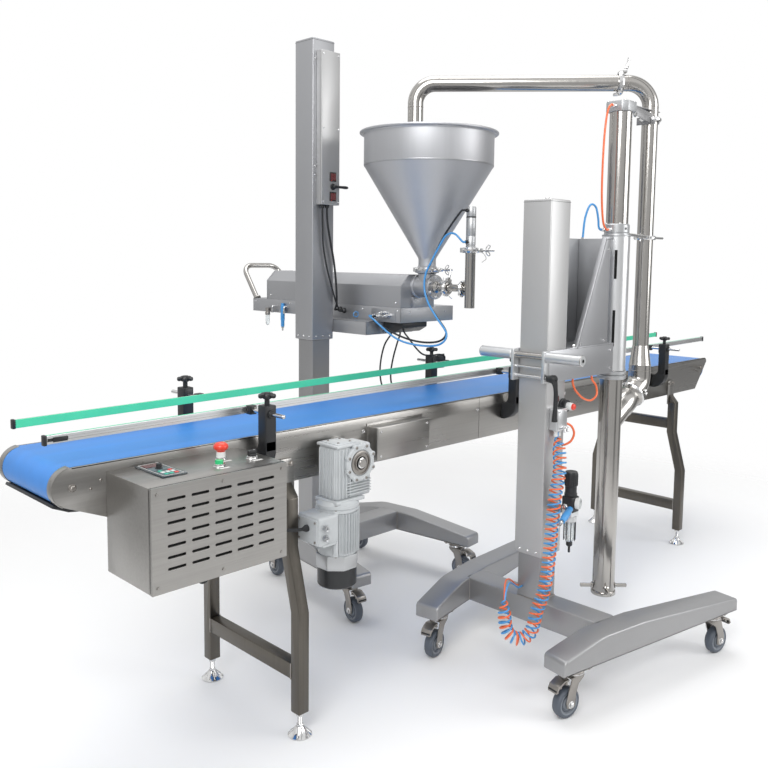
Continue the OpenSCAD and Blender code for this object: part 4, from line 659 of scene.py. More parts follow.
def lay_hose(name, body, node, points, d, finish, sides=12, stretch=None):
    """A hose or cable along its points"""
    work = Workpiece(name, None if stretch else body, node)
    work.paint(finish).tube(points, d, sides)
    piece = work.finish(50.0)
    if stretch:
        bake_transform(piece)
    d / 1000
    return piece


def column_box(work, centre, half, z0, z1, edge):
    work.box((centre[0] - half, centre[1] - half, z0), (centre[0] + half, centre[1] + half, z1), edge, 3)


class LINE_OT_stage(Operator):
    """Places the camera, the lamps, the room's light and the floor"""
    bl_idname = "cake_line.stage"
    bl_label = "Stage"

    def execute(self, context):
        stage = context.scene.line_stage
        self.camera(context, stage)
        self.room(context, stage)
        for name, power, spot, size in (("key_lamp", stage.key, (-4.2, -2.6, 3.9), 3.0),
                                        ("fill_lamp", stage.fill, (2.6, -5.0, 2.6), 3.2),
                                        ("top_lamp", stage.top, (0.2, 0.6, 5.4), 4.0)):
            lamp = bpy.data.objects.new(name, bpy.data.lights.new(name, "AREA"))
            lamp.data.energy, lamp.data.shape, lamp.data.size = power, "DISK", size
            lamp.location = spot
            lamp.rotation_euler = (Vector(LAMPS_LOOK_AT) - Vector(spot)).to_track_quat("-Z", "Y").to_euler()
            context.scene.collection.objects.link(lamp)
        return {"FINISHED"}

    def camera(self, context, stage):
        yaw, pitch, roll = (math.radians(a) for a in (YAW, PITCH, ROLL))
        look = Vector((math.cos(yaw) * math.cos(pitch), math.sin(yaw) * math.cos(pitch), math.sin(pitch)))
        right = Vector((math.sin(yaw), -math.cos(yaw), 0.0))
        up = right.cross(look)
        right, up = math.cos(roll) * right + math.sin(roll) * up, math.cos(roll) * up - math.sin(roll) * right
        camera = bpy.data.objects.new("camera", bpy.data.cameras.new("camera"))
        camera.matrix_world = Matrix.Translation(EYE) @ Matrix((right, up, -look)).transposed().to_4x4()
        camera.data.sensor_width = SENSOR
        camera.data.lens = stage.focal_px / PICTURE_PX * SENSOR
        camera.data.shift_x = (PICTURE_PX / 2 - CENTRE_PX[0]) / PICTURE_PX
        camera.data.shift_y = (CENTRE_PX[1] - PICTURE_PX / 2) / PICTURE_PX
        camera.data.clip_end = 100.0
        context.scene.collection.objects.link(camera)
        context.scene.camera = camera
        context.scene.view_settings.view_transform = "Standard"

    def room(self, context, stage):
        world = bpy.data.worlds.new("studio")
        world.use_nodes = True
        context.scene.world = world
        w = Nodes(world.node_tree)
        path = w.tree.nodes.new("ShaderNodeLightPath")
        seen = Term(w, path.outputs["Is Camera Ray"])
        gloss = Term(w, path.outputs["Is Glossy Ray"])
        glass = Term(w, path.outputs["Is Transmission Ray"])
        spot = w.node("ShaderNodeTexCoord", out="Generated")
        apart = w.tree.nodes.new("ShaderNodeSeparateXYZ")
        w.join(spot, apart.inputs[0])
        x, y, z = (Term(w, apart.outputs[i]) for i in range(3))
        # Metal mirrors a bright room with soft darker walls: (azimuth, half width, depth of the shade)
        azimuth = w.sum("ARCTAN2", y, x)
        mirrored = w.node("ShaderNodeMapRange", {"interpolation_type": "SMOOTHSTEP"},
                          {0: z, 1: -0.05, 2: 0.40, 3: 0.62, 4: 1.0})
        for centre, half, depth in ((128, 30, 0.22), (182, 13, 0.55), (272, 15, 0.72), (338, 26, 0.68),
                                    (60, 30, 0.35)):
            apart = (azimuth - math.radians(centre)).half_sine()
            near = w.node("ShaderNodeMapRange", {"interpolation_type": "SMOOTHSTEP"},
                          {0: apart, 1: 0.0, 2: math.sin(math.radians(half) / 2), 3: depth, 4: 0.0})
            mirrored = mirrored * (1 - near)
        level = seen + (1 - seen) * (glass + (1 - glass) * (gloss * mirrored + (1 - gloss) * stage.room))
        back = w.node("ShaderNodeBackground", None, {"Color": (1.0, 1.0, 1.0, 1.0), "Strength": level})
        out = w.tree.nodes.new("ShaderNodeOutputWorld")
        w.tree.links.new(back.socket, out.inputs[0])
        f = Finish("studio floor", {"Roughness": 0.9, "Specular IOR Level": 0.1})
        mottle = f.noise((1.0, 1.0, 1.0), scale=1.5)
        f.feed({"Base Color": f.mix(mottle, shade(tuple(stage.floor), 0.995),
                                    shade(tuple(stage.floor), 1.005))})
        ring = f.node("ShaderNodeVectorMath", {"operation": "LENGTH"},
                      {0: f.node("ShaderNodeTexCoord", out="Object")}, out=1)
        fade = f.node("ShaderNodeMapRange", {"interpolation_type": "SMOOTHSTEP"},
                      {0: ring, 1: FLOOR_FADE[0], 2: FLOOR_FADE[1], 3: 0.0, 4: 1.0})
        clear = f.node("ShaderNodeBsdfTransparent")
        mixed = f.node("ShaderNodeMixShader", None, {0: fade, 1: Term(f, f.shader.outputs[0]), 2: clear})
        f.tree.links.new(mixed.socket, f.output.inputs[0])
        mesh = bpy.data.meshes.new("floor")
        corners = [(x * FLOOR_REACH, y * FLOOR_REACH, 0) for x, y in ((-1, -1), (1, -1), (1, 1), (-1, 1))]
        mesh.from_pydata(corners, [], [(0, 1, 2, 3)])
        mesh.materials.append(bpy.data.materials["studio floor"])
        floor = bpy.data.objects.new("floor", mesh)
        context.scene.collection.objects.link(floor)


class LINE_OT_finishes(Operator):
    """Mixes every finish of the line"""
    bl_idname = "cake_line.finishes"
    bl_label = "Finishes"

    def execute(self, context):
        c = context.scene.line_colours
        brushed("conveyor steel", tuple(c.conveyor), 0.30, 0)
        brushed("box steel", tuple(c.box), 0.32, 0, streaks=0.12)
        brushed("frame tube", tuple(c.frame_tube), 0.34, 2, streaks=0.12)
        blasted("satin sheet", tuple(c.satin), 0.42, 0.85)
        brushed("hopper steel", shade(tuple(c.satin), 1.25), 0.50, 2, depth=0.10, streaks=0.04)
        blasted("stand steel", tuple(c.stand), 0.42, 0.85)
        blasted("pump column", tuple(c.pump_grey), 0.44, 0.75)
        polished("pipe steel", tuple(c.pipe), 0.17)
        polished("chrome", (0.70, 0.70, 0.70), 0.12)
        blasted("zinc", (0.34, 0.32, 0.30), 0.36)
        blasted("alloy", tuple(c.alloy), 0.36)
        blasted("machined alloy", (0.50, 0.51, 0.52), 0.40, 0.8)
        belt_finish("belt cover", tuple(c.belt))
        moulded("guide strip", tuple(c.guide), 0.45, 0.1)
        enamel("motor enamel", tuple(c.paint))
        moulded("black plastic", tuple(c.black), 0.42, 0.1)
        moulded("black rubber", shade(tuple(c.black), 1.3), 0.6)
        # Near black finish that stands in for shade: painted shade in bores, gaps, seams and behind vents
        moulded("dark inside", (0.006, 0.006, 0.007), 0.8)
        moulded("wheel tread", tuple(c.tread), 0.5)
        moulded("wheel core", (0.20, 0.22, 0.25), 0.45)
        moulded("red cap", tuple(c.red), 0.32, 0.3)
        moulded("green cap", tuple(c.button_green), 0.32, 0.3)
        moulded("orange hose", tuple(c.orange), 0.3, 0.25)
        moulded("blue hose", tuple(c.blue), 0.3, 0.25)
        moulded("white plastic", (0.72, 0.73, 0.72), 0.35, 0.2)
        moulded("pale plate", (0.62, 0.62, 0.60), 0.5)
        moulded("panel plate", (0.075, 0.115, 0.13), 0.3, 0.3)
        moulded("key green", (0.05, 0.42, 0.30), 0.4)
        moulded("key red", (0.70, 0.08, 0.07), 0.4)
        moulded("panel film", (0.030, 0.042, 0.052), 0.25, 0.4)
        clear_bowl("clear bowl")
        screen("display", (0.35, 0.03, 0.02))
        for node, finish in CARRIED_NODES.items():
            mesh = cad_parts[node].data
            mesh.materials.clear()
            mesh.materials.append(bpy.data.materials[finish])
        return {"FINISHED"}


class LINE_OT_hoses(Operator):
    """Lays the air hoses, cables and the coiled pair"""
    bl_idname = "cake_line.hoses"
    bl_label = "Hoses and cables"

    def execute(self, context):
        black = [(885, 360, 1216), (873, 360, 1216), (862, 335, 1195), (857, 200, 1150), (857, 80, 1132),
                 (860, -20, 1142),
                 (872, -45, 1178), (890, 20, 1232), (905, 76, 1278), (915, 110, 1335), (922, 112, 1395),
                 (930, 88, 1448),
                 (942, 34, 1550), (950, -36, 1636), (958, -48, 1646), (971.4, -48, 1646)]
        blue = [(885, 384, 1216), (873, 384, 1216), (858, 340, 1203), (845, 200, 1138), (844, 80, 1120),
                (847, -30, 1130),
                (860, -58, 1172), (878, 12, 1232), (893, 66, 1280), (901, 98, 1336), (908, 100, 1396),
                (916, 78, 1446),
                (924, 46, 1504), (933, 16, 1550), (944, -16, 1556), (956, -47, 1526), (970.6, -48, 1525)]
        case = [(771, 540.5, 1663), (771, 540.5, 1649), (778, 543, 1595), (798, 545, 1512), (815, 545, 1440),
                (826, 545, 1365),
                (834, 548, 1300), (846, 562, 1258), (866, 594, 1234), (877, 600, 1232), (891, 600, 1232)]
        thin = [(746, 540.5, 1663), (746, 540.5, 1649), (751, 545, 1595), (756, 546, 1510), (774, 546, 1425),
                (800, 546, 1345),
                (824, 546, 1280), (850, 556, 1244), (869, 574, 1229), (879, 575, 1228), (891, 575, 1228)]
        left = [(950, 330, 1151), (950, 331, 1138), (950, 368, 1092), (950, 390, 1025), (950, 394, 958),
                (950, 372, 902),
                (950, 300, 872), (950, 220, 876), (950, 198, 880), (950, 182, 880)]
        right = [(966, 294, 1151), (966, 294, 1138), (966, 312, 1095), (966, 334, 1030), (966, 346, 965),
                 (966, 334, 915),
                 (966, 280, 882), (966, 220, 878), (966, 198, 880), (966, 182, 880)]
        sensor = [(950, 258, 1162.5), (950, 252, 1150.5), (954, 228, 1126), (968, 196, 1085),
                  (995, 184, 1062), (1040, 180, 1056),
                  (1090, 178, 1056), (1118, 176, 1046), (1126, 184, 1026), (1126, 199.6, 1023)]
        arm = [(1000, -533, 1040), (1000, -533, 1026), (1014, -536, 998), (1054, -542, 966),
               (1105, -545, 952), (1146, -544, 968),
               (1150, -538, 1000), (1128, -534, 1024), (1124, -533, 1040)]
        loop = [(928, -545, 890), (942, -545, 890), (964, -556, 878), (974, -562, 852), (964, -558, 826),
                (946, -548, 814),
                (940, -540, 812), (940, -527, 812)]
        cylinder = [(1314, -469, 2040.5), (1300, -469, 2040.5), (1278, -469, 2014), (1262, -469, 1930),
                    (1256, -469, 1800),
                    (1259, -469, 1690), (1274, -469, 1606), (1298, -469, 1577.5), (1314, -469, 1577.5)]
        plate = [(1240, -405, 1540), (1240, -405, 1554), (1243, -410, 1620), (1256, -422, 1668),
                 (1276, -434, 1662),
                 (1286, -440, 1620), (1292, -440, 1588), (1302, -440, 1578), (1314, -440, 1577.5)]
        motor = [(28, -240, 645), (12, -240, 645), (-20, -236, 648), (-60, -228, 656), (-105, -222, 663),
                 (-150, -220, 665), (-170, -220, 665)]
        plug = [(-354, -240, 616), (-354, -240, 602), (-349, -240, 586), (-334, -240, 577), (-318, -240, 588),
                (-312, -240, 614),
                (-312, -240, 632), (-312, -240, 650)]
        rise = (tuple(TO_FRAME @ Vector((950, 0, 880))), tuple(TO_FRAME @ Vector((950, 0, 1130))))
        for name, body, node, route, d, finish, stretch in (
                ("black_hose", "depositor", "depositor_hoses", black, 8, "black rubber", None),
                ("blue_hose", "depositor", "depositor_hoses", blue, 8, "blue hose", None),
                ("case_cable", "depositor", "depositor_hoses", case, 9, "black rubber", None),
                ("thin_cable", "depositor", "depositor_hoses", thin, 7, "black rubber", None),
                ("left_cable", "depositor", "tray_cables", left, 7, "black rubber", rise),
                ("right_cable", "depositor", "tray_cables", right, 7, "black rubber", rise),
                ("sensor_cable", "depositor", "tray_cables", sensor, 7, "black rubber", rise),
                ("arm_hose", "pump", "pump_hoses", arm, 8, "orange hose", None),
                ("box_hose", "pump", "pump_hoses", loop, 8, "orange hose", None),
                ("cylinder_hose", "pump", "pump_hoses", cylinder, 8, "orange hose", None),
                ("plate_hose", "pump", "pump_hoses", plate, 8, "blue hose", None),
                ("motor_lead", "base", "motor_cable", motor, 10, "black rubber", None),
                ("plug_lead", "base", "motor_cable", plug, 10, "black rubber", None)):
            lay_hose(name, body, node, smooth(route, 6), d, finish, stretch=stretch)
        self.coil(context)
        return {"FINISHED"}

    def coil(self, context):
        route = smooth([(896, -544, 869.6), (896, -544, 850), (878, -566, 805), (850, -588, 740),
                        (824, -588, 640), (802, -586, 420),
                        (784, -582, 330), (763, -570, 265), (756, -565, 222), (745, -556, 187),
                        (719, -534, 170), (693, -511, 187),
                        (682, -501, 224), (680, -497, 280), (696, -487, 328), (740, -465, 346),
                        (792, -445, 325), (830, -435, 298),
                        (844, -434, 292), (855, -434, 292)], 4)
        curls, lead, tail, ease, wide, close = context.scene.pump_sizes.curls, 24, 215, 50, 21, 9
        runs = [0.0]
        for a, b in zip(route, route[1:]):
            runs.append(runs[-1] + (b - a).length)
        total = runs[-1]

        def spot(s):
            s = min(max(s, 0.0), total)
            i = max(j for j in range(len(runs) - 1) if runs[j] <= s)
            return route[i].lerp(route[i + 1], (s - runs[i]) / (runs[i + 1] - runs[i]))

        def eased(x):
            t = max(0.0, min(1.0, x))
            return t * t * (3 - 2 * t)

        wound, rings = total - lead - tail, curls * 16
        stops = [0.0, lead / 2] + [lead + i / rings * wound for i in range(rings + 1)]
        stops += [total - tail + i / 10 * tail for i in range(1, 11)]
        for name, phase, finish in (("orange_coil", 0, "orange hose"), ("blue_coil", 180, "blue hose")):
            points = []
            for s in stops:
                along = (spot(s + 6) - spot(s - 6)).normalized()
                u = Vector((1, 1, 0))
                u = (u - u.dot(along) * along).normalized()
                v = along.cross(u)
                turn = math.radians(360 * curls * max(0.0, min(1.0, (s - lead) / wound)) + phase)
                r = close + (wide - close) * eased((s - lead) / ease) * eased((total - tail - s) / ease)
                points.append(spot(s) + r * (math.cos(turn) * u + math.sin(turn) * v))
            work = Workpiece(name, None, "coil_hoses")
            work.paint(finish).tube(points, 6, 8)
            piece = work.finish(60.0)
            line = [TO_FRAME @ p for p in points]
            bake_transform(piece)
            round(sum((b - a).length for a, b in zip(line, line[1:])), 4)


class LINE_OT_conveyor(Operator):
    """Builds the side plates, slider bed, tie bars, nose caps and drive cover"""
    bl_idname = "cake_line.conveyor"
    bl_label = "Conveyor frame"

    def execute(self, context):
        s = context.scene.conveyor_sizes
        top, half, r = mm(s.belt_top), mm(s.half_width), mm(s.bend)
        tail, end, low = -mm(s.tail), mm(s.end), top - mm(s.plate_height)
        nose = (tail, top - r)
        touch, _, angle = lower_touch(nose, r, (tail + 131, low), 0)
        plate = ([(2894, top)] + arc((2894, top - 22), 22, 90, 0, 8)[1:] + [(2791, low), (tail + 131, low),
                                                                            tuple(touch)]
                 + arc(nose, r, angle, 90, 20)[1:])
        work = Workpiece("conveyor_frame_looks", "base", "conveyor_frame", slot="stainless")
        work.paint("conveyor steel")
        for side in (-1, 1):
            work.prism(plate, "y", side * (half - 3), side * half, 0.7)
            cap = arc(nose, r - 1, 96, angle - 6, 20)
            outer = arc(nose, r + 2, 96, angle - 6, 20)
            work.prism(cap + outer[::-1], "y", side * (half - 24), side * (half + 1), 0.6)
            work.prism([(tail, top - 4), (2894, top - 4), (2894, top - 0.5), (tail, top - 0.5)], "y",
                       side * (half - 9), side * half, 0.5)
            work.box((tail + 190, side * half, low + 2), (tail + 192, side * (half + 0.6), top - 8), 0)
            # Thin near black upright strips on each side plate: painted shade of a seam line
            for x in (930, 2010):
                work.paint("dark inside").box((x, side * half, low + 3),
                                              (x + 1.2, side * (half + 0.25), top - 3), 0)
                work.paint("conveyor steel")
        work.box((tail + 58, 3 - half, top - 6), (end - 58, half - 3, top - 3), 0.5)
        for share in (0.28, 0.45, 0.62, 0.8):
            x = tail + share * (end - tail)
            work.rod((x, 3 - half, top - 48), (x, half - 3, top - 48), 20)
            for side in (-1, 1):
                work.paint("chrome").screw((x, side * half, top - 48), (0, side, 0), 14,
                                           4).paint("conveyor steel")
        work.box((345, -half - 47, 790), (600, -half, 905), 4, 3)
        work.box((338, -half - 3, 783), (607, -half, 912), 1)
        work.paint("chrome")
        for x in (361, 584):
            for z in (806, 889):
                work.screw((x, -half - 47, z), FRONT, 9, 3)
        work.paint("conveyor steel").turned((200, -half, 826), FRONT, [(20, 0), (62, 0), (62, 7), (20, 7)],
                                            48)
        work.paint("zinc")
        for x in (tail, end):
            for side in (-1, 1):
                work.bolt((x, side * (half + 1), top - r), (0, side, 0), 15, 8)
        for side in (-1, 1):
            for x, z in ((tail + 48, top - 62), (tail + 74, top - 44), (end - 60, top - 60),
                         (end - 22, top - 70)):
                work.screw((x, side * half, z), (0, side, 0), 8, 2.5)
        work.paint("black plastic")
        work.prism([(tail - 40, 845), (tail, 829), (tail + 60, 819), (tail + 62, 811), (tail - 2, 820),
                    (tail - 44, 838)], "y", -150, 150, 1)
        work.box((200 - 70, -half + 4, 776), (200 + 70, half - 4, 779), 0.5)
        work.finish()
        self.belt(s, top, nose, (end, top - r), r)
        return {"FINISHED"}

    def belt(self, s, top, nose, far, r):
        drive = (200, 826)
        wide = mm(s.belt_width) / 2
        lines = []
        for grow in (0.0, -3.0):
            a, b = r + grow, 43 + grow
            down = lower_touch(nose, a, drive, b)[2]
            up = lower_touch(drive, b, far, a)[2]
            lines.append(arc(nose, a, 90, down, 32) + arc(drive, b, down, up, 12) + arc(far, a, up, 450, 32))
        work = Workpiece("belt_looks", "base", "belt", slot="belt_blue")
        work.paint("belt cover").band(lines[0], lines[1], -wide, wide)
        work.finish(25.0)


class LINE_OT_leg_frames(Operator):
    """Builds the two cranked leg frames and their levelling feet"""
    bl_idname = "cake_line.leg_frames"
    bl_label = "Leg frames"

    def execute(self, context):
        s = context.scene.conveyor_sizes
        half, t = mm(s.half_width), mm(s.leg_tube) / 2
        foot, up = 240.5, half + t
        leg = [(foot - t, 75), (foot + t, 75), (foot + t, 389), (up + t, 583), (up + t, 735),
               (up - t + 6, 775), (up - t + 6, 850),
               (up - t, 850), (up - t, 583), (foot - t, 389)]
        work = Workpiece("leg_frames_looks", "base", "leg_frames", slot="stainless")
        feet = Workpiece("levelling_feet_looks", "base", "levelling_feet", slot="black_plastic")
        for x in (0, 2500):
            for side in (-1, 1):
                work.paint("frame tube").prism([(side * y, z) for y,
                        z in leg[:5] + [(up - t, 735)] + leg[8:]], "x", x - t, x + t, 3)
                plate = [(x - 31, 728), (x + 31, 728), (x + 31, 838), (x + 19, 850), (x - 19, 850),
                         (x - 31, 838)]
                work.paint("conveyor steel").prism(plate, "y", side * half, side * (half + 6), 1.2)
                for dx in (-19, 19):
                    work.paint("zinc").bolt((x + dx, side * (half + 6), 834), (0, side, 0), 13, 6)
                work.paint("frame tube").prism([(side * (up - t + 6), 735), (side * (up + t), 735),
                                                (side * (up - t + 6), 775)], "x", x - t, x + t, 1)
                work.paint("zinc")
                for edge in (x - t, x + t):
                    work.tube([(edge, side * (foot - t), 178), (edge, side * (foot - t), 228)], 4, 8)
                self.foot(feet, x, side * foot)
            work.paint("frame tube").box((x - t, -foot + t, 178), (x + t, foot - t, 228), 3)
            work.box((x - t, -up + t, 600), (x + t, up - t, 650), 3)
        work.finish()
        feet.finish()
        return {"FINISHED"}

    def foot(self, work, x, y):
        work.paint("chrome").turned((x, y, 0), UP,
                                    [(0, 0), (35, 0), (37, 2), (37, 5), (31, 9), (21, 17), (14.5, 27),
                                     (12, 30), (0, 30)], 48)
        for i in range(10):
            a = math.radians(36 * i)
            p = [Vector((x, y, 0)) + polar(r, a, h) for r, h in ((33.5, 6), (22, 17), (14, 26))]
            work.tube(smooth(p, 3), [3.2] * 7, 6)
        thread = [(0, 28)] + [(7.6 if i % 2 else 6.6, 28 + i * 1.6) for i in range(24)] + [(7.6, 75), (0, 75)]
        work.turned((x, y, 0), UP, thread, 20)
        work.turned((x, y, 63), UP, [(0, 0), (12, 0), (13, 1.5), (13, 8.5), (12, 10), (0, 10)], 6)
        work.turned((x, y, 30), UP, [(0, 0), (10, 0), (11, 1.2), (11, 6), (10, 7), (0, 7)], 6)


class LINE_OT_guide_rails(Operator):
    """Builds the guide rails, their rods and the black posts with star knobs"""
    bl_idname = "cake_line.guide_rails"
    bl_label = "Guide rails"

    posts = (-105, 1085, 2310)

    def execute(self, context):
        front = (-712, 2935, -130, 1005, 1035, -1)
        back = (-689, 2895, 126, 1004, 1043, 1)
        self.rail("front_rail", front, "polished_rod")
        self.rail("back_rail", back, "guide_green")
        work = Workpiece("rail_brackets_looks", "base", "rail_brackets", slot="black_plastic")
        for x in self.posts:
            for x0, x1, y, z0, z1, side in (front, back):
                self.post(work, x, z0 + (x - x0) / (x1 - x0) * (z1 - z0), side)
        mid = 1004 + (1085 + 689) / (2895 + 689) * 39
        work.paint("black plastic").box((1103, 201, mid - 30), (1147, 206, mid + 30), 1)
        work.paint("zinc").screw((1125, 201, mid - 18), FRONT, 8, 3)
        work.finish()
        return {"FINISHED"}

    def rail(self, node, line, slot):
        x0, x1, y, z0, z1, side = line
        work = Workpiece(node + "_looks", node, node, slot=slot)

        def mid(x):
            return z0 + (x - x0) / (x1 - x0) * (z1 - z0)

        def strip(section, a, b):
            work.loft([[(x, y + side * u, mid(x) + v) for u, v in section] for x in (a, b)])

        holder = [(-2, -11), (5, -11), (6, -10), (6, -4), (3.5, -4), (3.5, 4), (6, 4), (6, 10), (5, 11),
                  (-2, 11)]
        guide = [(-1, -11.4), (-1, 11.4), (-5.6, 11.4), (-6, 11), (-6, -11), (-5.6, -11.4)]
        work.paint("alloy")
        strip(holder, x0 + 9, x1 - 9)
        work.paint("guide strip")
        strip(guide, x0 + 9, x1 - 9)
        # Two thin zinc strips in the corners of the holder's slot, darker than the alloy: painted shade in the
        # slot
        work.paint("zinc")
        for v in (-3.9, 3.1):
            strip([(3.3, v), (3.8, v), (3.8, v + 0.8), (3.3, v + 0.8)], x0 + 9, x1 - 9)
        work.paint("black plastic")
        for a, b in ((x0, x0 + 9), (x1 - 9, x1)):
            work.box((a, y - 8, mid(a) - 13), (b, y + 8, mid(a) + 13), 2)
        strip([(3.6, -4), (5.6, -4), (5.6, 4), (3.6, 4)], x0 + 12, x0 + 62)
        work.box((x0 + 24, y + side * 5, mid(x0) - 6), (x0 + 60, y + side * 8.5, mid(x0) + 6), 1)
        for x in self.posts:
            z = mid(x)
            work.paint("black plastic").box((x - 12, y + side * 2, z - 13), (x + 12, y + side * 24, z + 13),
                                            2)
            work.paint("zinc").screw((x + 6, y + side * 24, z + 6), (0, side, 0), 7, 2)
            work.paint("chrome").rod((x, y + side * 20, z), (x, side * 300, z), 12, 1.5)
            work.screw((x, side * 300, z), (0, side, 0), 7, 1)
        work.finish()

    def post(self, work, x, z, side):
        work.paint("black plastic")
        gusset = [(168, 836), (184, 836), (210, 848), (230, 868), (239, 892), (239, 930), (203, 930),
                  (198, 912), (186, 900), (168, 896)]
        work.prism([(side * u, v) for u, v in gusset], "x", x - 18, x + 18, 2)
        work.box((x - 19, side * 201, 900), (x + 19, side * 239, z + 24), 3, 3)
        work.box((x - 16, side * 198, z - 20), (x + 16, side * 201, z + 20), 1.5)
        work.rod((x, side * 239, z), (x, side * 245, z), 24)
        work.rod((x, side * 220, z + 23), (x, side * 220, z + 44), 15)
        work.turned((x, side * 220, z + 42), UP, [(0, 0), (11, 0), (13, 3), (13, 14), (9, 19), (0, 19)], 24)
        for i in range(5):
            a = math.radians(72 * i + 18)
            arm = [Vector((x, side * 220, z + 51)) + polar(r, a) for r in (6, 14, 20, 24.5, 26)]
            work.tube(arm, [14, 14, 15, 12, 5], 12)
        work.paint("zinc").screw((x, side * 168, 852), (0, -side, 0), 9, 3)


class LINE_OT_control_box(Operator):
    """Builds the control box, its keypad and its three controls"""
    bl_idname = "cake_line.control_box"
    bl_label = "Control box"

    def execute(self, context):
        work = Workpiece("control_box_looks", "base", "control_box", slot="stainless")
        work.paint("box steel").box((-570, -384, 650), (-170, -168, 911), 1.6)
        for x in (-570, -176):
            work.box((x, -388, 650), (x + 6, -380, 911), 0.6)
        for z in (650, 905):
            work.box((-568, -388, z), (-172, -380, z + 6), 0.6)
        # Near black sheet behind the vented front cover, and thin strips along its left and top edges: painted
        # shade inside the box and in the gaps
        work.paint("dark inside").box((-562, -386.5, 658), (-178, -384, 903), 0)
        work.box((-570.3, -386.2, 655), (-569, -384.8, 906), 0)
        work.box((-565, -386.2, 910), (-175, -384.8, 911.3), 0)
        work.paint("zinc")
        for x in (-554, -370, -186):
            for z in (666, 895):
                work.screw((x, -394, z), FRONT, 8, 2.6)
        work.paint("panel film").box((-499, -324, 911), (-429, -181, 915), 1)
        work.paint("panel plate").box((-490, -316, 914.5), (-438, -268, 915.6), 0.3).box((-490, -262, 914.5),
                (-438, -226, 915.6), 0.3)
        work.paint("pale plate")
        for low, high in (((-493, -319), (-435, -317.6)), ((-493, -187), (-435, -185.6)),
                          ((-493, -319), (-491.6, -185.6)), ((-436.4, -319), (-435, -185.6))):
            work.box((*low, 914.6), (*high, 915.5), 0.2)
        work.paint("display").box((-487, -222, 914.5), (-441, -190, 916), 0.4)
        for i, (x, y, finish) in enumerate(((-478, -306, "key green"), (-464, -306, "key green"),
                                            (-450, -306, "key red"),
                                            (-478, -288, "white plastic"), (-464, -288, "white plastic"),
                                            (-450, -288, "white plastic"),
                                            (-478, -274, "key green"), (-450, -274, "key red"))):
            work.paint(finish).box((x - 5, y - 5, 915), (x + 5, y + 5, 917.4), 1)
        work.paint("black plastic").turned((-464, -244, 915), UP,
                [(0, 0), (10, 0), (10, 2), (7.5, 3), (7, 12), (5.5, 13.5), (0, 13.5)], 24)
        for x, y in ((-285, -255), (-330, -315), (-217, -302)):
            work.paint("chrome").turned((x, y, 911), UP,
                                        [(11, 0), (17, 0), (17, 2), (15, 3.2), (15, 6.8), (14, 8), (11, 8)],
                                        40, loop=True)
            work.paint("pale plate").box((x - 15, y - 30, 911), (x + 15, y - 21, 912), 0.4)
        work.paint("black plastic")
        for x in (-415, -354):
            work.turned((x, -240, 650), DOWN, [(0, 0), (17, 0), (17, 5), (13, 7), (13, 14), (15, 15),
                                               (15, 28), (12, 34), (0, 34)], 32)
            for i in range(12):
                a = math.radians(30 * i)
                spot = Vector((x, -240, 0)) + polar(14.2, a)
                work.rod(spot + Vector((0, 0, 633)), spot + Vector((0, 0, 623)), 2.4, 0.3, 8)
        work.turned((-312, -240, 650), DOWN, [(0, 0), (11, 0), (11, 6), (8, 14), (5.2, 18), (0, 18)], 24)
        work.paint("black rubber").turned((-170, -220, 665), RIGHT,
                                          [(0, 0), (11, 0), (11, 5), (8, 10), (5.4, 16), (0, 16)], 24)
        work.finish()
        stop = Workpiece("emergency_stop_looks", "emergency_stop", "emergency_stop", slot="red_plastic")
        stop.paint("red cap").turned((-285, -255, 911), UP,
                                     [(0, -18), (10.8, -18), (10.8, 22), (12, 25), (16, 27), (19, 30),
                                      (20, 34), (20, 37),
                                     (18.5, 41), (14, 45), (8, 47.4), (0, 48)], 48)
        stop.paint("white plastic").turned((-285, -255, 911), UP,
                                           [(10.9, 8), (12.6, 8), (12.6, 22), (10.9, 22)], 40, loop=True)
        stop.finish()
        start = Workpiece("start_button_looks", "start_button", "start_button", slot="green_plastic")
        start.paint("green cap").turned((-330, -315, 911), UP,
                                        [(0, -20), (10.8, -20), (10.8, 15), (10.2, 17), (8, 18), (0, 18)], 40)
        start.finish()
        knob = Workpiece("selector_knob_looks", "selector_knob", "selector_knob", slot="black_plastic")
        knob.paint("black plastic").turned((-217, -302, 911), UP,
                [(0, -20), (10.8, -20), (10.8, 9), (13, 10), (13, 12), (11, 14), (0, 14)], 40)
        knob.box((-230, -307, 922), (-204, -297, 935), 3, 3)
        knob.paint("white plastic").box((-206, -302.8, 934), (-212, -301.2, 935.4), 0.2)
        knob.finish()
        return {"FINISHED"}


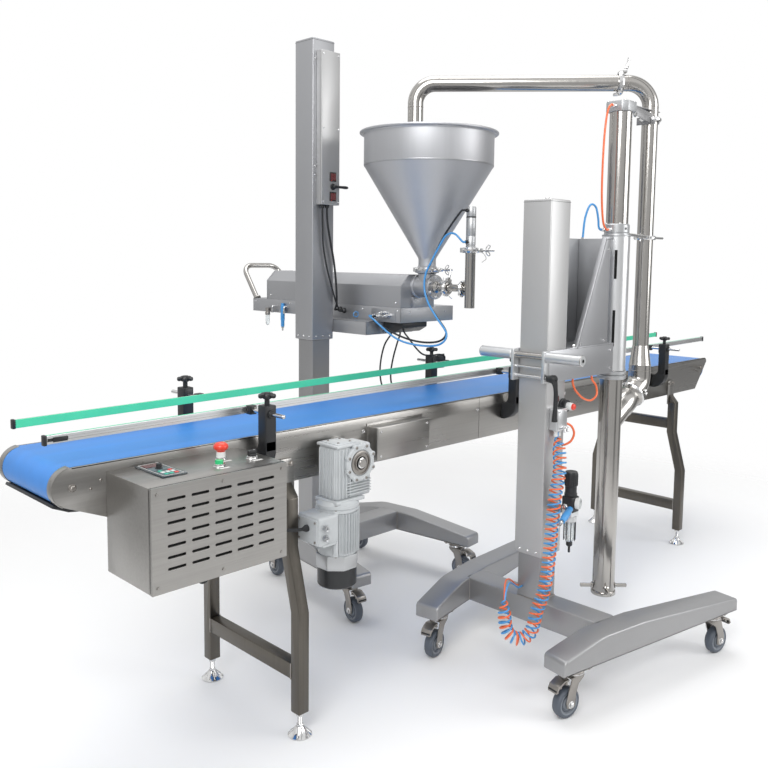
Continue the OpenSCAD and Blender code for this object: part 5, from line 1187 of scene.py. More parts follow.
class LINE_OT_gear_motor(Operator):
    """Builds the worm gearbox and the finned motor that hangs from it"""
    bl_idname = "cake_line.gear_motor"
    bl_label = "Gear motor"

    def execute(self, context):
        work = Workpiece("gear_motor_looks", "base", "gear_motor", slot="motor_paint")
        work.paint("motor enamel")
        work.box((112, -278, 716), (256, -190, 882), 9, 3)
        for k in range(4):
            work.box((116 + k * 15, -284, 722), (120 + k * 15, -276, 874), 1.5)
        for k in range(5):
            work.box((106, -272 + k * 17, 722), (114, -268 + k * 17, 874), 1.5)
            work.box((150, -286, 730 + k * 9), (250, -276, 733 + k * 9), 1.2)
        work.box((108, -284, 880), (206, -186, 889), 3).box((118, -276, 888), (196, -196, 892), 2)
        work.box((104, -288, 706), (222, -184, 718), 4, 3)
        work.turned((200, -175, 826), FRONT, [(0, 0), (54, 0), (60, 3), (60, 12), (56, 16), (0, 16)], 48)
        work.turned((200, -276, 826), FRONT, [(0, 0), (56, 0), (58, 2), (58, 13), (54, 16), (42, 16),
                                              (40, 12), (0, 12)], 48)
        for k in range(8):
            a = math.radians(45 * k + 22.5)
            p = (200 + 54 * math.cos(a), -280, 826 + 54 * math.sin(a))
            work.rod(p, (p[0], -294, p[2]), 19, 2, 20)
            work.paint("zinc").screw((p[0], -294, p[2]), FRONT, 9, 3).paint("motor enamel")
        work.paint("zinc").turned((200, -287, 826), FRONT,
                                  [(21, 0), (38, 0), (38, 5), (33, 6), (32, 3), (26, 3), (25, 7), (21, 7)],
                                  40, loop=True)
        # Near black disc inside the hollow hub: painted shade in the bore
        work.paint("dark inside").turned((200, -287, 826), FRONT, [(0, 1), (21, 1)], 32)
        work.paint("chrome").turned((200, -285, 826), FRONT,
                                    [(12.6, 0), (17, 0), (17, 12), (15, 13), (12.6, 13)], 40, loop=True)
        work.box((197, -297, 839), (203, -287, 843), 0.5)
        work.paint("motor enamel").turned((152, -236, 690), UP,
                [(0, 0), (64, 0), (67, 3), (67, 12), (62, 16), (58, 24), (0, 24)], 56)
        work.paint("zinc")
        for k in range(4):
            a = math.radians(90 * k + 45)
            work.screw(Vector((157, -236, 892)) + polar(34, a), UP, 8, 3)
            work.bolt(Vector((152, -236, 704)) + polar(56, a), UP, 12, 8)
        work.paint("motor enamel").turned((152, -236, 545), UP,
                [(0, 0), (61, 0), (61, 132), (66, 136), (66, 144), (60, 148), (0, 148)], 64)
        for a in range(0, 360, 9):
            if 153 <= a <= 207:
                continue
            turn = Matrix.Translation((152, -236, 0)) @ Matrix.Rotation(math.radians(a), 4, "Z")
            work.stand_at(turn).box((58, -1.2, 552), (69.5, 1.2, 678), 0.6, 1)
        for a in (45, 135, 225, 315):
            turn = Matrix.Translation((152, -236, 0)) @ Matrix.Rotation(math.radians(a), 4, "Z")
            work.stand_at(turn).box((56, -8, 546), (69, 8, 690), 2)
            work.paint("zinc").rod((65, 0, 543), (65, 0, 692), 7, 0.5, 12).paint("motor enamel")
        work.stand_at(Matrix.Identity(4))
        self.terminal_box(work)
        corners = arc((152, -236), 69, 22.5, 337.5, 7)
        work.paint("machined alloy").prism(corners, "z", 504, 545, 2.5)
        work.prism([(x * 0.97 + 152 * 0.03, y * 0.97 - 236 * 0.03) for x, y in corners], "z", 500, 504, 0.5)
        work.paint("black plastic").turned((152, -236, 440), UP,
                [(0, 5), (46, 5), (50, 0), (58, 0), (62, 5), (62, 60), (0, 60)], 64)
        for r in (14, 23, 32, 41):
            work.ring((152, -236, 444), UP, r * 2, 3, 40)
        work.finish()
        return {"FINISHED"}

    def terminal_box(self, work):
        work.paint("motor enamel").box((32, -290, 594), (110, -188, 682), 7, 3)
        work.box((28, -284, 600), (34, -194, 676), 4, 3)
        work.box((48, -292, 590), (100, -188, 598), 3)
        work.paint("zinc")
        for y in (-276, -202):
            for z in (608, 668):
                work.screw((28, y, z), LEFT, 8, 2.5)
        for z in (622, 652):
            work.paint("motor enamel").turned((52, -288, z), FRONT, [(0, 0), (13, 0), (13, 4), (0, 4)], 28)
            work.paint("machined alloy").turned((52, -292, z), FRONT,
                    [(0, 8), (5, 8), (5, 12), (9, 14), (10, 12), (10, 0), (0, 0)], 6)
        work.paint("black rubber").turned((28, -240, 645), LEFT,
                                          [(0, 0), (11, 0), (11, 6), (8, 12), (5.4, 18), (0, 18)], 24)


def swivel(n):
    """Where caster n stands: its matrix, with the wheel trailing along X"""
    i = (n - 1) % 4
    splay, gap, reach = (7.5, 241, 449) if n <= 4 else (10.4, 277, 636)
    side, u = (1 if i < 2 else -1), (92 - 282 if i % 2 == 0 else reach - 92)
    a = math.radians(splay)
    at = (math.cos(a) * u - math.sin(a) * 47, side * (gap + math.sin(a) * u + math.cos(a) * 47), 0)
    turn = Matrix.Rotation(math.radians(side * splay + (180 if i % 2 == 0 else 0)), 4, "Z")
    return STAND_FRAMES["depositor" if n <= 4 else "pump"] @ Matrix.Translation(at) @ turn


STAND_FRAMES = {
    "depositor": Matrix.Translation((996, 616, 0)) @ Matrix.Rotation(math.radians(-90), 4, "Z"),
    "pump": Matrix.Translation((904, -469, 0)),
}


class LINE_OT_stands(Operator):
    """Builds the two wheeled stands and their columns"""
    bl_idname = "cake_line.stands"
    bl_label = "Stands"

    def execute(self, context):
        s = context.scene.stand_sizes
        for kind, splay, gap, reach, shift, top in (("depositor", 7.5, 241, 449, -230, 2276),
                                                    ("pump", 10.4, 277, 636, 0, 1607)):
            work = Workpiece(kind + "_stand_looks", "base", kind + "_stand", slot="stand_steel")
            home = STAND_FRAMES[kind]
            corners = [(-282, 163), (reach, 163), (reach, 212), (100, 254), (-100, 254), (-282, 212)]
            outline = [p[:2] for p in rounded(corners, (3, 3, 16, 240, 240, 16), closed=True, steps=6)]
            for side in (-1, 1):
                turn = home @ Matrix.Translation((0, side * gap,
                                                  0)) @ Matrix.Rotation(math.radians(side * splay), 4, "Z")
                work.stand_at(turn).paint("stand steel").prism(outline, "y", min(0, side * mm(s.leg)),
                                                               max(0, side * mm(s.leg)), 6, 3)
                work.paint("zinc")
                for x in (-49, 49):
                    work.tube([(x, -side * 0.5, 168), (x, -side * 0.5, 250)], 4.5, 8)
            work.stand_at(home).paint("stand steel").box((-49, -gap - 8, 166), (49, gap + 8, 254), 4, 3)
            half = mm(s.column) / 2
            work.box((-half, shift - half, 250), (half, shift + half, top), 3, 3)
            work.paint("zinc")
            for a, b in (((-1, -1), (1, -1)), ((1, -1), (1, 1)), ((1, 1), (-1, 1)), ((-1, 1), (-1, -1))):
                work.tube([(half * a[0], shift + half * a[1], 254.5),
                           (half * b[0], shift + half * b[1], 254.5)], 4.5, 8)
            for n in range(1, 5):
                number = n if kind == "depositor" else n + 4
                work.stand_at(swivel(number)).paint("zinc").box((-42, -40, 158.5), (42, 40, 163.2), 1)
                for x in (-33, 33):
                    for y in (-31, 31):
                        work.turned((x, y, 158.5), DOWN, [(0, 0), (6.5, 0), (6.5, 4), (5.5, 5), (0, 5)], 6)
            work.stand_at(Matrix.Identity(4))
            if kind == "pump":
                work.paint("alloy").box((904 - 2, -469 - 48, 300), (904 + 30, -469 - 47, 420), 0.3)
            work.finish()
        return {"FINISHED"}


class LINE_OT_casters(Operator):
    """Builds the eight braked swivel casters"""
    bl_idname = "cake_line.casters"
    bl_label = "Casters"

    def execute(self, context):
        r = mm(context.scene.stand_sizes.wheel) / 2
        for n in range(1, 9):
            fork = Workpiece(f"fork_{n}_looks", f"fork_{n}", f"fork_{n}",
                             slot="stand_steel").stand_at(swivel(n))
            fork.paint("zinc").turned((0, 0, 134), UP,
                                      [(0, 0), (24, 0), (31, 5), (33, 11), (33, 18), (29, 24), (0, 24)], 40)
            fork.paint("chrome").turned((0, 0, 143), UP, [(33, 0), (33.8, 2), (33, 4)], 40)
            for side in (-1, 1):
                cheek = [(14, 41), (30, 34), (50, 41), (54, 62), (44, 96), (30, 135), (-24, 138), (-22, 128),
                         (0, 112), (12, 80)]
                fork.paint("zinc").prism(cheek, "y", side * 19.5, side * 23.5, 1.2)
                fork.paint("chrome").bolt((34, side * 23.5, 50), (0, side, 0), 17, 7)
                fork.paint("zinc").tube(smooth([(-20, side * 22, 136), (4, side * 22, 114),
                                                (16, side * 22, 82), (18, side * 22, 46)], 4), 3.4, 8)
            fork.box((-24, -23.5, 131), (32, 23.5, 137), 1.5)
            fork.box((36, -16, 128), (62, 16, 131), 1)
            fork.prism([(44, 134), (62, 135), (88, 122), (96, 106), (93, 103), (84, 116), (62, 127),
                        (46, 127)], "y", -21, 21, 1.2)
            fork.box((70, -17, 110), (76, 17, 126), 1.5).box((86, -19, 100), (98, 19, 106), 2)
            fork.rod((56, -25, 126), (56, 25, 126), 8)
            fork.paint("black rubber").box((90, -18, 104), (97, 18, 110), 1.5)
            fork.finish()
            wheel = Workpiece(f"wheel_{n}_looks", f"wheel_{n}", f"wheel_{n}",
                              slot="wheel_tread").stand_at(swivel(n))
            tyre = [(37, -15), (39, -16), (r - 6, -16), (r - 1.5, -12), (r, -7), (r, 7), (r - 1.5, 12),
                    (r - 6, 16), (39, 16), (37, 15)]
            wheel.paint("wheel tread").turned((34, 0, 50), BACK, tyre, 64, loop=True)
            core = [(13, -14), (19, -14), (21, -11), (31, -11), (33, -14.6), (38, -15.4), (38, 15.4),
                    (33, 14.6), (31, 11), (21, 11), (19, 14), (13, 14)]
            wheel.paint("wheel core").turned((34, 0, 50), BACK, core, 64, loop=True)
            for side in (-1, 1):
                wheel.paint("wheel tread").turned((34, side * 11, 50), (0, side, 0),
                                                  [(22, 0), (26, 2.4), (30, 0)], 48)
                wheel.paint("chrome").turned((34, side * 13, 50), (0, side, 0),
                                             [(6.2, 0), (13, 0), (12.5, 3.4), (6.2, 3.4)], 32)
            wheel.finish()
        return {"FINISHED"}


class LINE_OT_depositor_column(Operator):
    """Builds the depositor's lift sleeve, its control case and its lever switch"""
    bl_idname = "cake_line.depositor_column"
    bl_label = "Depositor column"

    def execute(self, context):
        s = context.scene.stand_sizes
        half = mm(s.sleeve) / 2
        work = Workpiece("depositor_sleeve_looks", "depositor", "depositor_sleeve", slot="stainless")
        work.paint("satin sheet")
        column_box(work, (766, 616), half, 1109, 2354, mm(s.edge))
        # Near black band round the sleeve below its top, and a near black square under its open foot: painted
        # shade of a joint line and inside the sleeve
        work.paint("dark inside").box((766 - half - 0.2, 616 - half - 0.2, 2345),
                                      (766 + half + 0.2, 616 + half + 0.2, 2346), 0)
        work.box((766 - 49, 616 - 49, 1107.5), (766 + 49, 616 + 49, 1110), 0)
        work.paint("chrome")
        for dx in (-0.32, 0, 0.32):
            work.screw((766 + dx * 116, 616 - half, 1125), FRONT, 8, 2.6)
            work.screw((766 - half, 616 + dx * 116, 1125), LEFT, 8, 2.6)
        for z in (1800, 1836, 2270):
            work.screw((766 - 46, 616 - half, z), FRONT, 8, 2.4)
        work.finish()
        case = Workpiece("depositor_controls_looks", "depositor", "depositor_controls", slot="stand_steel")
        case.paint("pump column").box((726, 524, 1677), (826, 558, 2302), 2.4, 3)
        case.box((728, 523, 1679), (824, 526, 2300), 1.2)
        # Near black band between the lid and the case: painted shade in the gap
        case.paint("dark inside").box((725.7, 527, 1678), (826.3, 528, 2301), 0)
        case.paint("black plastic")
        for z in (1793, 1712):
            case.paint("black plastic").box((770, 519.5, z - 19), (804, 523.4, z + 19), 1.4)
            case.paint("display").box((773, 518.4, z - 14), (801, 520, z + 14), 0.5)
            case.paint("red cap").box((774, 518, z - 17.5), (780, 519.8, z - 15.5), 0.2)
        for x in (746, 771):
            case.paint("black plastic").turned((x, 540.5, 1677), DOWN,
                    [(0, 0), (11, 0), (11, 4), (9, 5), (9, 10), (6, 14), (0, 14)], 24)
        case.paint("chrome")
        for z in (1690, 1990, 2288):
            case.screw((735, 523, z), FRONT, 7, 2.2)
            case.screw((817, 523, z), FRONT, 7, 2.2)
        case.finish()
        lever = Workpiece("lever_switch_looks", "lever_switch", "lever_switch", slot="black_plastic")
        lever.paint("black plastic").turned((787, 523, 1752), FRONT,
                                            [(0, 0), (13, 0), (13, 4), (11, 8), (0, 9)], 32)
        lever.rod((787, 540, 1752), (787, 520, 1752), 12, 0.5)
        arm = [(781, 509, 1752), (792, 508, 1752), (806, 507, 1752), (824, 508, 1752), (842, 508, 1752),
               (854, 508, 1752), (860, 508, 1752)]
        lever.tube(arm, [12, 15, 11, 11.5, 13.5, 12, 5], 20)
        lever.rod((787, 517, 1752), (787, 503, 1752), 17, 3)
        lever.finish()
        return {"FINISHED"}


class LINE_OT_tray(Operator):
    """Builds the tray, its handle, fittings and the roofed cover of the cylinder"""
    bl_idname = "cake_line.tray"
    bl_label = "Tray and cover"

    def execute(self, context):
        s = context.scene.depositor_sizes
        top = mm(s.tray_top)
        work = Workpiece("tray_looks", "depositor", "tray", slot="stainless")
        work.paint("satin sheet")
        work.box((905, 232, top - 3), (1233, 1253, top), 1.4)
        for a, b in (((905, 232), (908, 1253)), ((1230, 232), (1233, 1253)), ((905, 232), (1233, 235)),
                     ((905, 1250), (1233, 1253))):
            work.box((*a, top - 63), (*b, top - 0.5), 1.3)
        for a, b in (((905, 232), (925, 1253)), ((1213, 232), (1233, 1253))):
            work.box((*a, top - 63), (*b, top - 61), 0.7)
        work.box((902, 262, top - 54), (905.5, 402, top - 8), 1.2)
        work.box((824, 352, 1140), (905, 674, 1143), 1)
        work.prism([(352, 1143), (674, 1143), (674, 1195), (352, 1195)], "x", 824, 827, 0.8)
        work.box((824, 352, 1140), (905, 355, 1195), 1).box((824, 671, 1140), (905, 674, 1195), 1)
        work.box((824, 352, 1192), (905, 674, 1195), 1)
        work.box((905, 352, 1140), (1105, 674, 1193), 1.5)
        self.handle(work, mm(s.handle), top)
        work.paint("black plastic")
        hanger = [(240, 1193), (511, 1193), (511, 1151), (280, 1151), (240, 1172)]
        work.prism(hanger, "x", 925, 1075, 3)
        for y in (360, 384):
            work.paint("chrome").turned((905, y, 1216), LEFT,
                                        [(0, 0), (10, 0), (10, 3), (7.5, 4), (7.5, 9), (8.2, 10), (8.2, 17),
                                         (6, 20), (4.2, 20)], 6)
        work.paint("blue hose").ring((896, 384, 1216), RIGHT, 15, 3)
        for y, z in ((575, 1228), (600, 1232)):
            work.paint("black plastic").turned((905, y, z), LEFT,
                    [(0, 0), (12, 0), (12, 4), (10, 5), (10, 9), (6, 14), (0, 14)], 24)
        self.fittings(work, top)
        work.finish()
        self.cover(top)
        return {"FINISHED"}

    def handle(self, work, d, top):
        path = rounded([(920.5, 1240.5, top - 6), (920.5, 1362, 1414), (1135.5, 1362, 1414),
                        (1135.5, 1240.5, top - 6)], 55, steps=12)
        work.paint("pipe steel").tube(path, d, 28)
        for x in (920.5, 1135.5):
            work.turned((x, 1240.5, top), (0, 0.59, 0.81), [(0, -2), (18, -2), (18, 3), (13, 5), (12, 5)], 32)
            work.rod((x, 1253, top - 30), (x, 1240, top - 30), 14, 1, 6)

    def fittings(self, work, top):
        work.paint("chrome")
        for y, z in ((290, 1222), (322, 1232)):
            work.turned((902, y, z), LEFT, [(0, 0), (9, 0), (9, 5), (6, 6), (6, 14), (8, 15), (8, 24),
                                            (0, 26)], 6)
            work.tube(rounded([(880, y, z), (872, y, z), (872, y + 16, z - 4)], 6), 7, 12)
        for y in (990, 1080):
            work.tube(rounded([(905, y, 1224), (893, y, 1224), (893, y, 1196)], 8), 9, 14)
            work.rod((893, y, 1206), (893, y, 1192), 14, 1, 6)
        work.paint("blue hose").turned((898, 1007, 1240), DOWN,
                                       [(0, 0), (8, 0), (8, 10), (10, 12), (10, 78), (8.5, 84), (8.5, 108),
                                        (7, 112), (0, 112)], 32)
        work.paint("chrome").turned((898, 1007, 1128), DOWN,
                                    [(0, 0), (7, 0), (7, 5), (4, 7), (4, 18), (0, 18)], 6)
        work.paint("zinc").turned((898, 1125, 1213), DOWN,
                                  [(0, 0), (10, 0), (10, 20), (12, 22), (12, 34), (0, 34)], 28)
        work.paint("clear bowl").turned((898, 1125, 1180), DOWN,
                                        [(0, 0), (10, 0), (10.4, 26), (9, 42), (5, 50), (0, 52)], 28)
        work.paint("blue hose").ring((896, 492, 1216), (0.4, 1, 0), 26, 4, 24)
        work.paint("chrome")
        for y in (250, 460, 760, 960, 1230):
            work.screw((905, y, top - 14), LEFT, 8, 2.4)
        for x in (960, 1180):
            work.screw((x, 232, top - 20), FRONT, 8, 2.4)
        for y in (700, 900, 1100):
            work.screw((1190, y, top), UP, 8, 2.4)

    def cover(self, top):
        work = Workpiece("cylinder_cover_looks", "depositor", "cylinder_cover", slot="stainless")
        outline = [(905, top), (905, top + 89), (951, top + 135), (1059, top + 135), (1105, top + 89),
                   (1105, top)]
        work.paint("satin sheet").prism(outline, "y", 232, 1138, 1.6, 3)
        lip = [(903.5, top), (903.5, top + 90), (950, top + 136.5), (1060, top + 136.5), (1106.5, top + 90),
               (1106.5, top)]
        work.prism(lip, "y", 230.8, 236, 0.8).prism(lip, "y", 1134, 1139, 0.8)
        work.paint("chrome")
        for y in (262, 1108):
            for x, a in ((905, -1), (1105, 1)):
                work.screw((x, y, top + 20), (a, 0, 0), 9, 3)
        work.turned((930, 700, top + 135), UP, [(0, -6), (5, -6), (5, 8), (0, 9)], 20)
        work.tube(rounded([(1000, 980, top + 134), (1000, 980, top + 152), (1000, 1012, top + 152),
                           (1000, 1012, top + 134)], 8), 6, 12)
        work.finish()


class LINE_OT_hopper(Operator):
    """Builds the hopper, the valve manifold below it and the outlet tube"""
    bl_idname = "cake_line.hopper"
    bl_label = "Hopper and outlet"

    def execute(self, context):
        s = context.scene.depositor_sizes
        self.hopper(mm(s.rim) / 2, mm(s.drum) / 2)
        self.manifold(mm(s.valve) / 2)
        self.spout(mm(s.spout) / 2)
        return {"FINISHED"}

    def hopper(self, rim, drum):
        at = (1005, 181, 0)
        work = Workpiece("hopper_looks", "depositor", "hopper", slot="stainless")
        work.paint("hopper steel")
        roll = [(rim - 5 + 5 * math.cos(math.radians(a)),
                 1961 + 5 * math.sin(math.radians(a))) for a in range(-60, 200, 20)]
        skin = [(33, 1424), (36, 1424), (36, 1455), (37.5, 1461), (drum - 2, 1829), (drum, 1834),
                (drum, 1951), (drum + 3, 1956), (rim - 9, 1958)] + roll
        inner = [(drum - 2, 1953), (drum - 3, 1834), (drum - 6, 1829), (34, 1458), (33, 1450)]
        work.turned(at, UP, skin + inner, 128, loop=True)
        work.paint("satin sheet").turned(at, UP, [(drum - 1.6, 1828), (drum + 0.4, 1833), (drum + 0.2, 1836)],
                                         128)
        work.paint("satin sheet").turned(at, UP, [(33, 1413), (45, 1413), (46, 1416), (38, 1427), (36, 1430)],
                                         64)
        work.paint("chrome").clamp((1005, 181, 1413), UP, 78, (0.80, -0.60, 0), 1.1)
        work.finish(24.0)

    def manifold(self, r):
        work = Workpiece("manifold_looks", "depositor", "manifold", slot="stainless")
        work.paint("satin sheet")
        body = [(0, 0), (r + 4, 0), (r + 6, 2), (r + 6, 11), (r + 4, 14), (r, 15), (r, 86), (r + 4, 88),
                (r + 6, 90), (r + 6, 100), (r + 4, 102), (0, 102)]
        work.turned((1005, 130, 1343), BACK, body, 64)
        work.turned((1005, 181, 1343), UP, [(0, 0), (36, 0), (36, 52), (40, 56), (49, 58), (50, 60), (50, 68),
                                            (48, 70), (33, 70), (33, 40)], 64)
        work.paint("chrome")
        for i in range(6):
            a = math.radians(60 * i + 30)
            work.bolt((1005 + (r - 4) * math.cos(a), 130, 1343 + (r - 4) * math.sin(a)), FRONT, 10, 6)
        work.paint("pipe steel")
        work.rod((1005, 130, 1343), (1005, -12, 1343), 29, 0.4, 40)
        work.turned((1005, 130, 1343), FRONT, [(0, 0), (24, 0), (24, 5), (15, 12), (14.5, 16)], 40)
        work.turned((1005, -14, 1343), BACK, [(0, 0), (23, 0), (23, 4), (15, 10), (14.5, 12)], 40)
        work.turned((1005, 65, 1343), BACK, [(14.5, 0), (22, 2), (22, 10), (14.5, 12)], 40)
        work.paint("chrome").clamp((1005, 71, 1343), BACK, 42, (0.3, 0, 0.95), 0.9)
        work.clamp((1005, -14, 1343), BACK, 42, (-0.5, 0, -0.87), 0.8, nut=False)
        work.tube(rounded([(985, 71, 1384), (966, 60, 1362), (962, 40, 1330), (975, 30, 1308),
                           (1000, 40, 1300)], 14), 3, 8)
        work.paint("satin sheet").box((965, 218, 1258), (1045, 232, 1300), 2)
        work.finish()

    def spout(self, r):
        x, y = 1005, -48
        work = Workpiece("spout_looks", "depositor", "spout", slot="stainless")
        work.paint("pipe steel")
        work.turned((x, y, 1266), UP, [(r - 2, 0), (r, 0.6), (r, 212), (r + 1, 215), (r + 1, 218), (15, 218),
                                       (15, 2)], 48, loop=True)
        work.rod((x, y, 1343), (x, -14, 1343), 29, 0.4, 32)
        work.turned((x, -14, 1343), FRONT, [(14, 0), (23, 0), (23, 3), (15, 9)], 40)
        work.paint("chrome").clamp((x, y, 1493), UP, 42, (0.78, -0.62, 0), 1.2)
        work.tube(rounded([(x + 26, y - 20, 1493), (x + 44, y - 34, 1478), (x + 52, y - 40, 1460),
                           (x + 40, y - 26, 1446)], 8), 2.6, 8)
        work.paint("machined alloy")
        tube = [(0, 0), (19, 0), (19, 10), (17.6, 11), (17.6, 13), (19, 14), (19, 46), (18.4, 47), (18.4, 49),
                (19, 50), (19, 118),
                (18.4, 119), (18.4, 121), (19, 122), (19, 158), (17, 162), (0, 162)]
        work.turned((x, y, 1500), UP, tube, 48)
        work.paint("black plastic").turned((x, y, 1620), UP, [(19, -1), (19.5, 0), (19.5, 3), (19, 4)], 40)
        for z in (1525, 1646):
            work.paint("chrome").turned((x - 16, y, z), LEFT, [(0, 0), (8, 0), (8, 6), (0, 6)], 6)
            work.paint("black plastic").turned((x - 22, y, z), LEFT,
                                               [(0, 0), (7, 0), (7, 7), (5.5, 11), (0, 11)], 20)
        work.finish()


class LINE_OT_pump_column(Operator):
    """Builds the pump's lift sleeve, valve box, push valve, air unit and grips"""
    bl_idname = "cake_line.pump_column"
    bl_label = "Pump column"

    def execute(self, context):
        s = context.scene.stand_sizes
        half = mm(s.sleeve) / 2
        work = Workpiece("pump_sleeve_looks", "pump", "pump_sleeve", slot="stand_steel")
        work.paint("pump column")
        column_box(work, (904, -469), half, 417, 1665, mm(s.edge))
        # Near black band round the sleeve below its top: painted shade of a joint line
        work.paint("dark inside").box((904 - half - 0.2, -469 - half - 0.2, 1656),
                                      (904 + half + 0.2, -469 + half + 0.2, 1657), 0)
        work.paint("chrome").bolt((904, -469, 1665), UP, 16, 8)
        for dx in (-0.3, 0, 0.3):
            work.screw((904 + dx * 116, -469 - half, 433), FRONT, 9, 3)
            work.screw((904 - half, -469 + dx * 116, 433), LEFT, 9, 3)
        work.paint("alloy").box((868, -561, 872), (928, -527, 948), 3, 3)
        work.box((871, -563, 876), (925, -561, 944), 1)
        work.paint("chrome")
        for x in (877, 919):
            for z in (881, 939):
                work.screw((x, -563, z), FRONT, 7, 2)
        for x, y, z in ((894, 0, 966), (934, 0, 889)):
            work.paint("black plastic").box((x, -531, z), (x + 26, -527, z + 22), 1)
            work.paint("display").box((x + 2.5, -531.8, z + 3), (x + 23.5, -530, z + 19), 0.4)
        work.paint("black plastic").turned((948, -527, 950), FRONT,
                [(0, 0), (25, 0), (25, 5), (22, 7), (22, 20), (20, 22), (14.1, 22), (14.1, 4)], 40)
        for x, finish in ((887, "white plastic"), (905, "white plastic")):
            work.paint(finish).turned((x, -544, 872), DOWN,
                                      [(0, 0), (9, 0), (9, 6), (7, 8), (7, 16), (8, 17), (8, 22), (0, 22)],
                                      20)
            work.paint("chrome").tube(rounded([(x, -561, 884), (x, -578, 884), (x - 6, -582, 872)], 7), 10,
                                      14)
        work.paint("chrome").turned((928, -545, 890), RIGHT,
                                    [(0, 0), (7, 0), (7, 5), (5, 6), (5, 12), (0, 12)], 20)
        work.turned((940, -527, 812), FRONT, [(0, 0), (8, 0), (8, 5), (5, 6), (5, 12), (0, 12)], 20)
        work.finish()
        button = Workpiece("valve_button_looks", "valve_button", "valve_button", slot="red_plastic")
        button.paint("white plastic").turned((948, -533, 950), FRONT,
                [(0, 0), (13.5, 0), (13.8, 16), (13.8, 34), (12, 37), (0, 37)], 36)
        button.paint("red cap").turned((948, -568, 950), FRONT,
                                       [(0, 0), (11, 0), (11.5, 3), (10, 9), (6, 11), (0, 11)], 36)
        button.finish()
        self.air_unit()
        self.grips(context.scene.pump_sizes)
        return {"FINISHED"}

    def air_unit(self):
        x, y = 912, -596
        work = Workpiece("air_unit_looks", "pump", "air_unit", slot="black_plastic")
        work.paint("stand steel").box((892, -573, 584), (932, -527, 588), 1).box((892, -573, 584),
                                                                                 (896, -527, 612), 1)
        work.box((890, -531, 578), (934, -527, 616), 1)
        work.paint("black plastic").turned((x, y, 646), UP,
                [(0, 0), (20, 0), (22, 2), (22, 10), (20, 12), (20, 34), (22.5, 37), (22.5, 80), (20, 86),
                 (0, 86)], 48)
        for i in range(18):
            a = math.radians(20 * i)
            spot = Vector((x, y, 0)) + polar(22, a)
            work.rod(spot + Vector((0, 0, 685)), spot + Vector((0, 0, 724)), 3.4, 0.8, 8)
        work.box((890, -618, 590), (934, -574, 646), 5, 3)
        work.paint("alloy").box((889, -616, 574), (935, -576, 600), 3, 3)
        work.paint("chrome").turned((889, -596, 614), LEFT,
                                    [(0, 0), (10, 0), (10, 10), (7, 12), (7, 20), (0, 20)], 6)
        work.paint("white plastic").turned((x + 6, -616, 622), (0.25, -1, 0),
                                           [(0, 0), (20, 0), (20, 12), (18, 14), (18, 12.5), (0, 12.5)], 40)
        work.paint("clear bowl").turned((x + 6, -616, 622), (0.25, -1, 0), [(18, 13.2), (0, 15)], 40)
        work.paint("black plastic").tube([(x + 9.3, -629.5, 620), (x + 14, -630, 632)], 1.4, 6)
        along = Vector((-118, -28, -34))
        at = Vector((890, -610, 606))
        work.paint("blue hose").turned(at, along,
                                       [(0, 0), (10, 0), (10, 20), (12, 24), (12, 62), (10, 66), (10, 82),
                                        (0, 82)], 32)
        work.paint("chrome").turned(at + along * 0.63, along,
                                    [(0, 0), (7, 0), (7, 12), (4.5, 14), (4.5, 22), (5.5, 24), (4, 40),
                                     (0, 40)], 20)
        work.paint("alloy").turned((x, y, 574), DOWN, [(0, 0), (22, 0), (23, 4), (23, 16), (20, 20), (0, 20)],
                                   40)
        work.paint("clear bowl").turned((x, y, 556), DOWN,
                                        [(0, 0), (18, 0), (19, 4), (19, 52), (16, 66), (9, 74), (0, 75)], 40)
        work.paint("black plastic").turned((x, y, 484), DOWN,
                [(0, 0), (10, 0), (11, 4), (11, 14), (7, 18), (4, 20), (4, 40), (0, 42)], 24)
        for i in range(8):
            a = math.radians(45 * i)
            spot = Vector((x, y, 0)) + polar(20.5, a)
            work.rod(spot + Vector((0, 0, 556)), spot + Vector((0, 0, 488)), 3, 0.6, 8)
        work.finish()

    def grips(self, s):
        work = Workpiece("grip_frame_looks", "pump", "grip_frame", slot="stainless")
        work.paint("pipe steel").rod((826, -660, 1130), (826, -270, 1130), 22)
        for y0, y1 in ((-680, -540), (-399, -259)):
            work.paint("alloy").rod((826, y0, 1130), (826, y1, 1130), mm(s.grip) - 3, 2.5, 48)
            outer = y0 if y0 < -469 else y1
            sign = -1 if y0 < -469 else 1
            # Near black disc in the grip's open end: painted shade in the bore
            work.paint("dark inside").turned((826, outer, 1130), (0, sign, 0),
                                             [(0, 0.3), (5.5, 0.3), (6, 0.6)], 20)
            work.paint("pipe steel").ring((826, outer - sign * 3, 1130), BACK, mm(s.grip) - 2, 3)
        work.paint("alloy")
        for y0, y1 in ((-539, -527), (-411, -399)):
            work.box((811, y0, 1040), (841, y1, 1150), 2.5, 3)
        work.paint("chrome")
        for z in (1050, 1140):
            for y, a in ((-539, -1), (-399, 1)):
                work.screw((818, y, z), (0, a, 0), 7, 2)
        work.rod((826, -527, 1090), (826, -411, 1090), 10)
        work.finish()
        lever = Workpiece("clamp_lever_looks", "clamp_lever", "clamp_lever", slot="black_plastic")
        lever.paint("chrome").rod((826, -556, 1058), (826, -391, 1058), 12)
        lever.paint("black plastic").turned((826, -543, 1058), FRONT,
                [(0, 0), (11, 0), (12, 2), (13, 14), (15, 20), (15, 30), (12, 34), (0, 35)], 32)
        arm = smooth([(826, -570, 1054), (832, -572, 1034), (836, -573, 1000), (834, -573, 960),
                      (832, -573, 925), (832, -573, 913)], 4)
        lever.tube(arm, [24 - 9 * min(1, i / 5) + 5 * min(1, max(0, (i - 12) / 6)) for i in range(len(arm))],
                   20)
        lever.finish()


